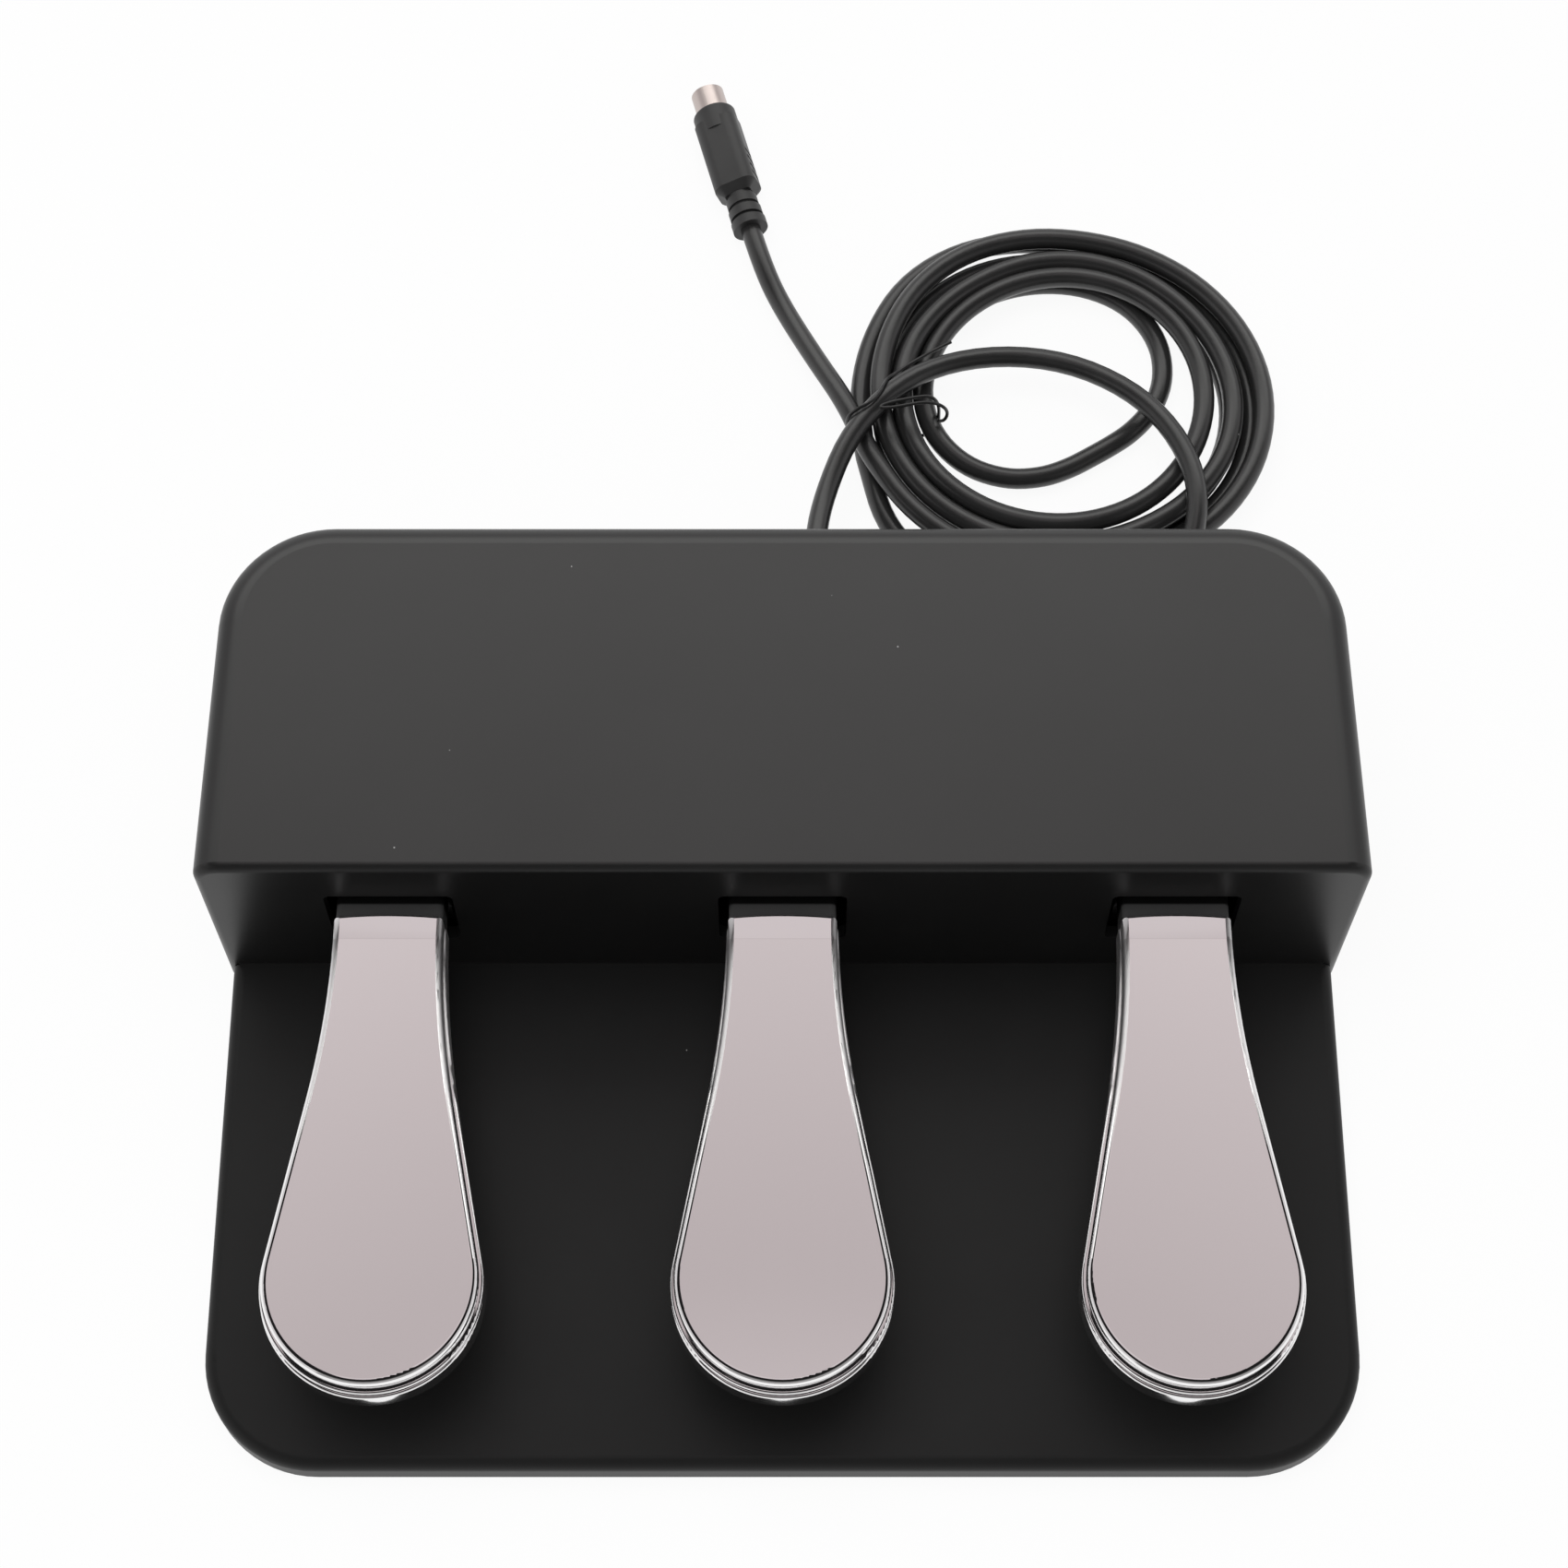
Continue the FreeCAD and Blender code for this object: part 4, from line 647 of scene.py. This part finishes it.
# %% The table of finishes
FINISHES = {
    "housing_plastic": dict(first=grey(0.0105), second=grey(0.014), roughness=0.34, spread=0.08,
                            reflection=0.58, sides=0.26, depth=5e-6, dusty=0.02),
    "plate_plastic": dict(first=grey(0.0125), second=grey(0.0155), roughness=0.42, spread=0.08,
                          reflection=0.18, depth=6e-6, dusty=0.015),
    "sheet_steel": dict(first=grey(0.022), second=grey(0.03), roughness=0.5, scale=1200.0, depth=1.5e-5),
    "foot_rubber": dict(first=grey(0.014), second=grey(0.022), roughness=0.75, depth=2e-5),
    "screw_steel": dict(first=grey(0.38, 0.03), second=grey(0.52, 0.03), roughness=0.32, metallic=1.0),
    "bracket_steel": dict(first=grey(0.42, 0.05), second=grey(0.55, 0.04), roughness=0.36, metallic=1.0,
                          drift_scale=60.0),
    "spring_steel": dict(first=grey(0.34), second=grey(0.5), roughness=0.28, metallic=1.0, scale=4000.0),
    # the lever's colour gets a painted shade where it goes into its slot
    "lever_paint": dict(first=grey(0.055), second=grey(0.07), roughness=0.36, reflection=0.5,
                        painted_shade=(16.4 * MM, 17.0 * MM)),
    "felt": dict(first=(0.18, 0.02, 0.03, 1), second=(0.27, 0.045, 0.055, 1), roughness=0.95,
                 scale=3500.0, depth=2e-4, sheen=0.4, reflection=0.2),
    "stop_rubber": dict(first=grey(0.016), second=grey(0.024), roughness=0.7, depth=2e-5),
    "switch_plastic": dict(first=grey(0.02), second=grey(0.03), roughness=0.45),
    "plunger_plastic": dict(first=(0.62, 0.6, 0.55, 1), second=(0.7, 0.68, 0.62, 1), roughness=0.4),
    "board": dict(first=(0.01, 0.06, 0.025, 1), second=(0.015, 0.085, 0.035, 1), roughness=0.3,
                  drift_scale=90.0),
    "header_plastic": dict(first=(0.66, 0.62, 0.52, 1), second=(0.74, 0.7, 0.6, 1), roughness=0.45),
    "wire_pvc": dict(first=grey(0.22), second=grey(0.32), roughness=0.4),
    "gland_rubber": dict(first=grey(0.014), second=grey(0.02), roughness=0.5, depth=1e-5),
    "cord_pvc": dict(first=grey(0.016), second=grey(0.026), roughness=0.30, spread=0.16, scale=1500.0,
                     depth=1.2e-5, reflection=0.6, drift_scale=40.0, dusty=0.02),
    "tie_wire": dict(first=grey(0.012), second=grey(0.02), roughness=0.3),
    "plug_pvc": dict(first=grey(0.022), second=grey(0.032), roughness=0.45, depth=8e-6, drift_scale=60.0),
    "plug_insulator": dict(first=grey(0.015), second=grey(0.03), roughness=0.5),
}
finishes = {name: make_finish(name, **numbers) for name, numbers in FINISHES.items()}
print("finishes from the table:", len(finishes))

# %% [markdown]
# ## Chrome and the plug's metal
#
# Polished plate is a mirror: fully metallic, almost without roughness. What gives it away as a
# real, trodden pedal is a faint unevenness in that mirror, long, hardly visible wiping marks, and
# a slight upturn of the pressed shell at its neck, which lifts the box's dark image out of sight.
# Beside the neck its flanks are less polished, since a buffing wheel hardly reaches in there. The
# upturn would be a millimetre high and the rest far less, so the solid keeps its shape and they go
# in the normal and the roughness.

# %% What is special at a pedal's neck
NECK_FROM = 7.3 * MM         # where a pedal's flat top begins to turn up towards its neck
NECK_BEND = 0.2 * MM         # it bends over this distance
NECK_TILT = 0.10             # to this slope
NECK_RISE = 5.2              # and goes on by so many metres of rise to a square metre of distance
FLANK_FROM = (-50.0 * MM, -20.0 * MM)  # where the upright flanks lose their mirror finish
FLANK_FACING = (0.997, 0.9999)  # the Z of a face's normal, from a flank to a flat top
FLANK_BLUR = 0.38


def neck_upturn(tree, along):
    """The height of the upturn."""
    past = math_node(tree, "MAXIMUM", math_node(tree, "SUBTRACT", along, NECK_FROM), 0.0)
    bent = math_node(tree, "MINIMUM", past, NECK_BEND)
    straight_on = math_node(tree, "SUBTRACT", math_node(tree, "MULTIPLY", past, 2.0), bent)
    kinked = math_node(tree, "MULTIPLY", math_node(tree, "MULTIPLY", bent, straight_on),
                       NECK_TILT / (2 * NECK_BEND))
    curved = math_node(tree, "MULTIPLY", math_node(tree, "MULTIPLY", past, past), NECK_RISE)
    return math_node(tree, "ADD", kinked, curved)


def duller_flanks(tree, coords, along, roughness):
    """The roughness, raised on the flanks beside the neck."""
    level = math_node(tree, "ABSOLUTE", split_up(tree, coords.node.outputs["Normal"])[2], 0.0)
    flank = math_node(tree, "MULTIPLY", smooth_step(tree, level, FLANK_FACING, FALLING),
                      smooth_step(tree, along, FLANK_FROM))
    return math_node(tree, "ADD", roughness, math_node(tree, "MULTIPLY", flank, FLANK_BLUR))


print("a neck turns up from", round(NECK_FROM / MM, 1), "mm")

# %% The bright metals
WAVE_SCALE = 160.0


def make_bright(name, colour, roughness, spread, waviness, stretch, necked=False):
    """A bright metal; the waviness is its unevenness in metres."""
    made, tree, shader, coords = start_finish(name)
    shader.inputs["Base Color"].default_value = colour
    shader.inputs["Metallic"].default_value = 1.0
    marks = place_group(tree, wiping, coords, Roughness=roughness, Spread=spread, Stretch=stretch)
    rough = marks.outputs["Roughness"]
    waves = place_group(tree, grain, coords, Scale=WAVE_SCALE)
    relief = math_node(tree, "MULTIPLY", waves.outputs["Height"], waviness)
    if necked:
        along = split_up(tree, coords)[1]
        rough = duller_flanks(tree, coords, along, rough)
        relief = math_node(tree, "ADD", relief, neck_upturn(tree, along))
    tree.links.new(rough, shader.inputs["Roughness"])
    bump_from(tree, shader, relief, 1.0)
    return made


finishes["pedal_chrome"] = make_bright(
    "pedal_chrome", (0.90, 0.89, 0.893, 1), roughness=0.025, spread=0.09, waviness=2.5e-6,
    stretch=(1.0, 0.04, 1.0), necked=True)
finishes["plug_metal"] = make_bright(
    "plug_metal", (0.56, 0.49, 0.465, 1), roughness=0.30, spread=0.12, waviness=1e-6,
    stretch=(1.0, 1.0, 1.0))
print("bright metals ready, finishes:", len(finishes))

# %% Every solid gets its finish
for name, solid in nodes.items():
    for place in solid.material_slots:
        place.material = finishes[place.material.name.split(".")[0]]
for piece, name in ((cord, "cord_pvc"), (tie, "tie_wire")):
    piece.data.materials.append(finishes[name])
print("dressed", len(nodes), "solids")

# %% [markdown]
# ## What repeats: springs and screws
#
# Each pedal has a coiled return spring under its lever, and the unit is held together by rows of
# cross-headed screws. Geometry Nodes suit both: a spring is a spiral that a round profile runs
# along, and a screw is one small solid set at each point of a list. The tree ends by realizing
# the instances and setting the material, and the result is turned into a plain mesh, because the
# export knows nothing of modifiers that grow geometry.


# %% Helpers for Geometry Nodes
def new_tree(name, inputs):
    """A Geometry Nodes tree that takes points and puts out geometry."""
    made = bpy.data.node_groups.new(name, "GeometryNodeTree")
    made.interface.new_socket("Points", in_out="INPUT", socket_type="NodeSocketGeometry")
    for label, kind in inputs:
        made.interface.new_socket(label, in_out="INPUT", socket_type="NodeSocket" + kind)
    made.interface.new_socket("Geometry", in_out="OUTPUT", socket_type="NodeSocketGeometry")
    return made, made.nodes.new("NodeGroupInput"), made.nodes.new("NodeGroupOutput")


def end_tree(tree, taken, points, instance, output):
    """Sets the instance on every point, then realizes and dresses the result."""
    on_points = add(tree, "GeometryNodeInstanceOnPoints")
    tree.links.new(points, on_points.inputs["Points"])
    tree.links.new(instance, on_points.inputs["Instance"])
    real = add(tree, "GeometryNodeRealizeInstances")
    tree.links.new(on_points.outputs[0], real.inputs[0])
    dressed = add(tree, "GeometryNodeSetMaterial")
    tree.links.new(real.outputs[0], dressed.inputs["Geometry"])
    tree.links.new(taken.outputs["Finish"], dressed.inputs["Material"])
    tree.links.new(dressed.outputs[0], output.inputs[0])


def grow(name, tree, places, values):
    """Runs a tree on a list of points and returns the result as a plain mesh object."""
    seed = bpy.data.meshes.new(name + "_points")
    seed.from_pydata(places, [], [])
    made = bpy.data.objects.new(name, seed)
    scene.collection.objects.link(made)
    growth = made.modifiers.new("growth", "NODES")
    growth.node_group = tree
    for item in tree.interface.items_tree:
        if item.in_out == "INPUT" and item.name in values:
            growth[item.identifier] = values[item.name]
    view = bpy.context.evaluated_depsgraph_get()
    mesh = bpy.data.meshes.new_from_object(made.evaluated_get(view), depsgraph=view)
    made.modifiers.clear()
    made.data = mesh
    return made


print("growing helpers ready")

# %% The spring's tree
SPIRAL_STEPS = 40            # points on each turn
WIRE_SIDES = 12

spring_tree, taken, output = new_tree(
    "coil_spring", [("Radius", "Float"), ("Wire", "Float"), ("Turns", "Float"), ("Height", "Float"),
                    ("Finish", "Material")])
spiral = add(spring_tree, "GeometryNodeCurveSpiral", Resolution=SPIRAL_STEPS)
for socket, source in (("Start Radius", "Radius"), ("End Radius", "Radius"), ("Rotations", "Turns"),
                       ("Height", "Height")):
    spring_tree.links.new(taken.outputs[source], spiral.inputs[socket])
profile = add(spring_tree, "GeometryNodeCurvePrimitiveCircle", Resolution=WIRE_SIDES)
spring_tree.links.new(math_node(spring_tree, "MULTIPLY", taken.outputs["Wire"], 0.5),
                      profile.inputs["Radius"])
tube = add(spring_tree, "GeometryNodeCurveToMesh", Fill_Caps=True)
spring_tree.links.new(spiral.outputs[0], tube.inputs["Curve"])
spring_tree.links.new(profile.outputs[0], tube.inputs["Profile Curve"])
end_tree(spring_tree, taken, taken.outputs["Points"], tube.outputs[0], output)
print("tree", spring_tree.name)

# %% The springs
# Each stands on the plate and leans against its lever, which squashes it as the pedal goes down.
# The drop is by how much; the coil grown here keeps its full height.
SPRING_WIRE = 1.5 * MM
SPRING_TURNS = 5.0
PRESS_ANGLE = math.radians(6.0)
PIVOT_Y = 82.0 * MM

for side, x in PEDALS.items():
    low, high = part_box(side + "_return_spring")
    middle = (low + high) / 2
    radius = (high.y - low.y - SPRING_WIRE) / 2
    height = high.z - low.z - SPRING_WIRE
    spring = grow(side + "_spring_coil", spring_tree, [(x, middle.y, low.z + SPRING_WIRE / 2)],
                  {"Radius": radius, "Wire": SPRING_WIRE, "Turns": SPRING_TURNS, "Height": height,
                   "Finish": finishes["spring_steel"]})
    drop = (PIVOT_Y - middle.y) * math.tan(PRESS_ANGLE)
    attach(spring, "base")
    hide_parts(side + "_return_spring")
    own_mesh(spring)
    print(spring.name, "height", round(height / MM, 1), "squashed by", round(drop / MM, 2), "mm")

# %% [markdown]
# ## Screws with a cross recess
#
# A pan-headed screw is a low cone with a cross cut into it. The cut is a true Boolean inside the
# tree, so it is in the mesh, not only in the shading.

# %% The screw's head
HEAD_TOP = 0.72              # shares of the head's radius
RECESS_ARM = 0.30
RECESS_REACH = 1.15
RECESS_DEPTH = 0.75          # and of its height
HEAD_SIDES = 32

screw_tree, taken, output = new_tree(
    "cross_screw", [("Head Radius", "Float"), ("Head Height", "Float"), ("Shank Radius", "Float"),
                    ("Shank Length", "Float"), ("Finish", "Material")])


def share(measure, part):
    """Part of one of the screw's measures."""
    return math_node(screw_tree, "MULTIPLY", taken.outputs[measure], part)


head = add(screw_tree, "GeometryNodeMeshCone", Vertices=HEAD_SIDES)
screw_tree.links.new(taken.outputs["Head Radius"], head.inputs["Radius Bottom"])
screw_tree.links.new(share("Head Radius", HEAD_TOP), head.inputs["Radius Top"])
screw_tree.links.new(taken.outputs["Head Height"], head.inputs["Depth"])
arms = []
for lengthwise, crosswise in (("X", "Y"), ("Y", "X")):
    size = add(screw_tree, "ShaderNodeCombineXYZ")
    screw_tree.links.new(share("Head Radius", RECESS_REACH), size.inputs[lengthwise])
    screw_tree.links.new(share("Head Radius", RECESS_ARM), size.inputs[crosswise])
    screw_tree.links.new(share("Head Height", 2 * RECESS_DEPTH), size.inputs["Z"])
    arm = add(screw_tree, "GeometryNodeMeshCube")
    screw_tree.links.new(size.outputs[0], arm.inputs["Size"])
    lift = add(screw_tree, "ShaderNodeCombineXYZ")
    screw_tree.links.new(taken.outputs["Head Height"], lift.inputs["Z"])
    raised = add(screw_tree, "GeometryNodeTransform")
    screw_tree.links.new(arm.outputs["Mesh"], raised.inputs["Geometry"])
    screw_tree.links.new(lift.outputs[0], raised.inputs["Translation"])
    arms.append(raised.outputs[0])
cross = add(screw_tree, "GeometryNodeMeshBoolean", operation="UNION")
for arm in arms:
    screw_tree.links.new(arm, cross.inputs["Mesh 2"])
cut = add(screw_tree, "GeometryNodeMeshBoolean", operation="DIFFERENCE")
screw_tree.links.new(head.outputs["Mesh"], cut.inputs["Mesh 1"])
screw_tree.links.new(cross.outputs["Mesh"], cut.inputs["Mesh 2"])
print("the recess has", len(arms), "arms")

# %% The screw's shank
SHANK_SIDES = 20
SCREW_TURN = math.radians(20)

shank = add(screw_tree, "GeometryNodeMeshCylinder", Vertices=SHANK_SIDES)
screw_tree.links.new(taken.outputs["Shank Radius"], shank.inputs["Radius"])
screw_tree.links.new(taken.outputs["Shank Length"], shank.inputs["Depth"])
drop = add(screw_tree, "ShaderNodeCombineXYZ")
screw_tree.links.new(share("Shank Length", -0.5), drop.inputs["Z"])
sunk = add(screw_tree, "GeometryNodeTransform")
screw_tree.links.new(shank.outputs["Mesh"], sunk.inputs["Geometry"])
screw_tree.links.new(drop.outputs[0], sunk.inputs["Translation"])
whole = add(screw_tree, "GeometryNodeJoinGeometry")
for part in (cut.outputs["Mesh"], sunk.outputs[0]):
    screw_tree.links.new(part, whole.inputs[0])
turned = add(screw_tree, "GeometryNodeTransform", Rotation=(math.pi, 0.0, SCREW_TURN))
screw_tree.links.new(whole.outputs[0], turned.inputs["Geometry"])
end_tree(screw_tree, taken, taken.outputs["Points"], turned.outputs[0], output)
print("tree", screw_tree.name)

# %% Where the screws are
SAME_PLACE = 1e-6            # metres; corners this close are one


def solid_spots(name):
    """The lowest and the highest corner of each loose solid of a node."""
    mesh = bmesh.new()
    mesh.from_mesh(nodes[name].data)
    bmesh.ops.remove_doubles(mesh, verts=mesh.verts, dist=SAME_PLACE)
    left = set(mesh.verts)
    found = []
    while left:
        solid, front = [], [left.pop()]
        while front:
            vertex = front.pop()
            solid.append(vertex.co.copy())
            for link in vertex.link_edges:
                other = link.other_vert(vertex)
                if other in left:
                    left.remove(other)
                    front.append(other)
        low = Vector(min(p[i] for p in solid) for i in range(3))
        high = Vector(max(p[i] for p in solid) for i in range(3))
        found.append((low, high))
    mesh.free()
    return sorted(found, key=lambda ends: tuple(ends[0]))


print("sheet screws:", len(solid_spots("sheet_screws")))

# %% The screws that show from below
# Each kind's head height and shank radius.
SCREWS = {"sheet_screws": (1.2 * MM, 1.3 * MM)}
SCREWS.update({side + "_cap_screws": (1.3 * MM, 1.4 * MM) for side in PEDALS})

for name, (head_height, shank_radius) in SCREWS.items():
    spots = solid_spots(name)
    low, high = spots[0]
    places = [((a.x + b.x) / 2, (a.y + b.y) / 2, a.z + head_height) for a, b in spots]
    made = grow(name + "_crossed", screw_tree, places,
                {"Head Radius": (high.x - low.x) / 2, "Head Height": head_height,
                 "Shank Radius": shank_radius, "Shank Length": high.z - low.z - head_height,
                 "Finish": finishes["screw_steel"]})
    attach(made, name.replace("_cap_screws", "_pedal") if "cap" in name else "base")
    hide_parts(name)
    print(made.name, len(spots), "screws,", len(made.data.polygons), "faces")

# %% [markdown]
# ## Riding on the bodies
#
# The unit has a fixed body and six moving ones: three pedals and three switch plungers. The
# solids ride on theirs already. The cord and its tie belong to the fixed body.

# %% The cord and the tie ride on the fixed body
for piece, replaced in ((cord, ("cord_lead", "cord_coil", "cord_tail")), (tie, ("cord_tie",))):
    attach(piece, "base")
    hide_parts(*replaced)
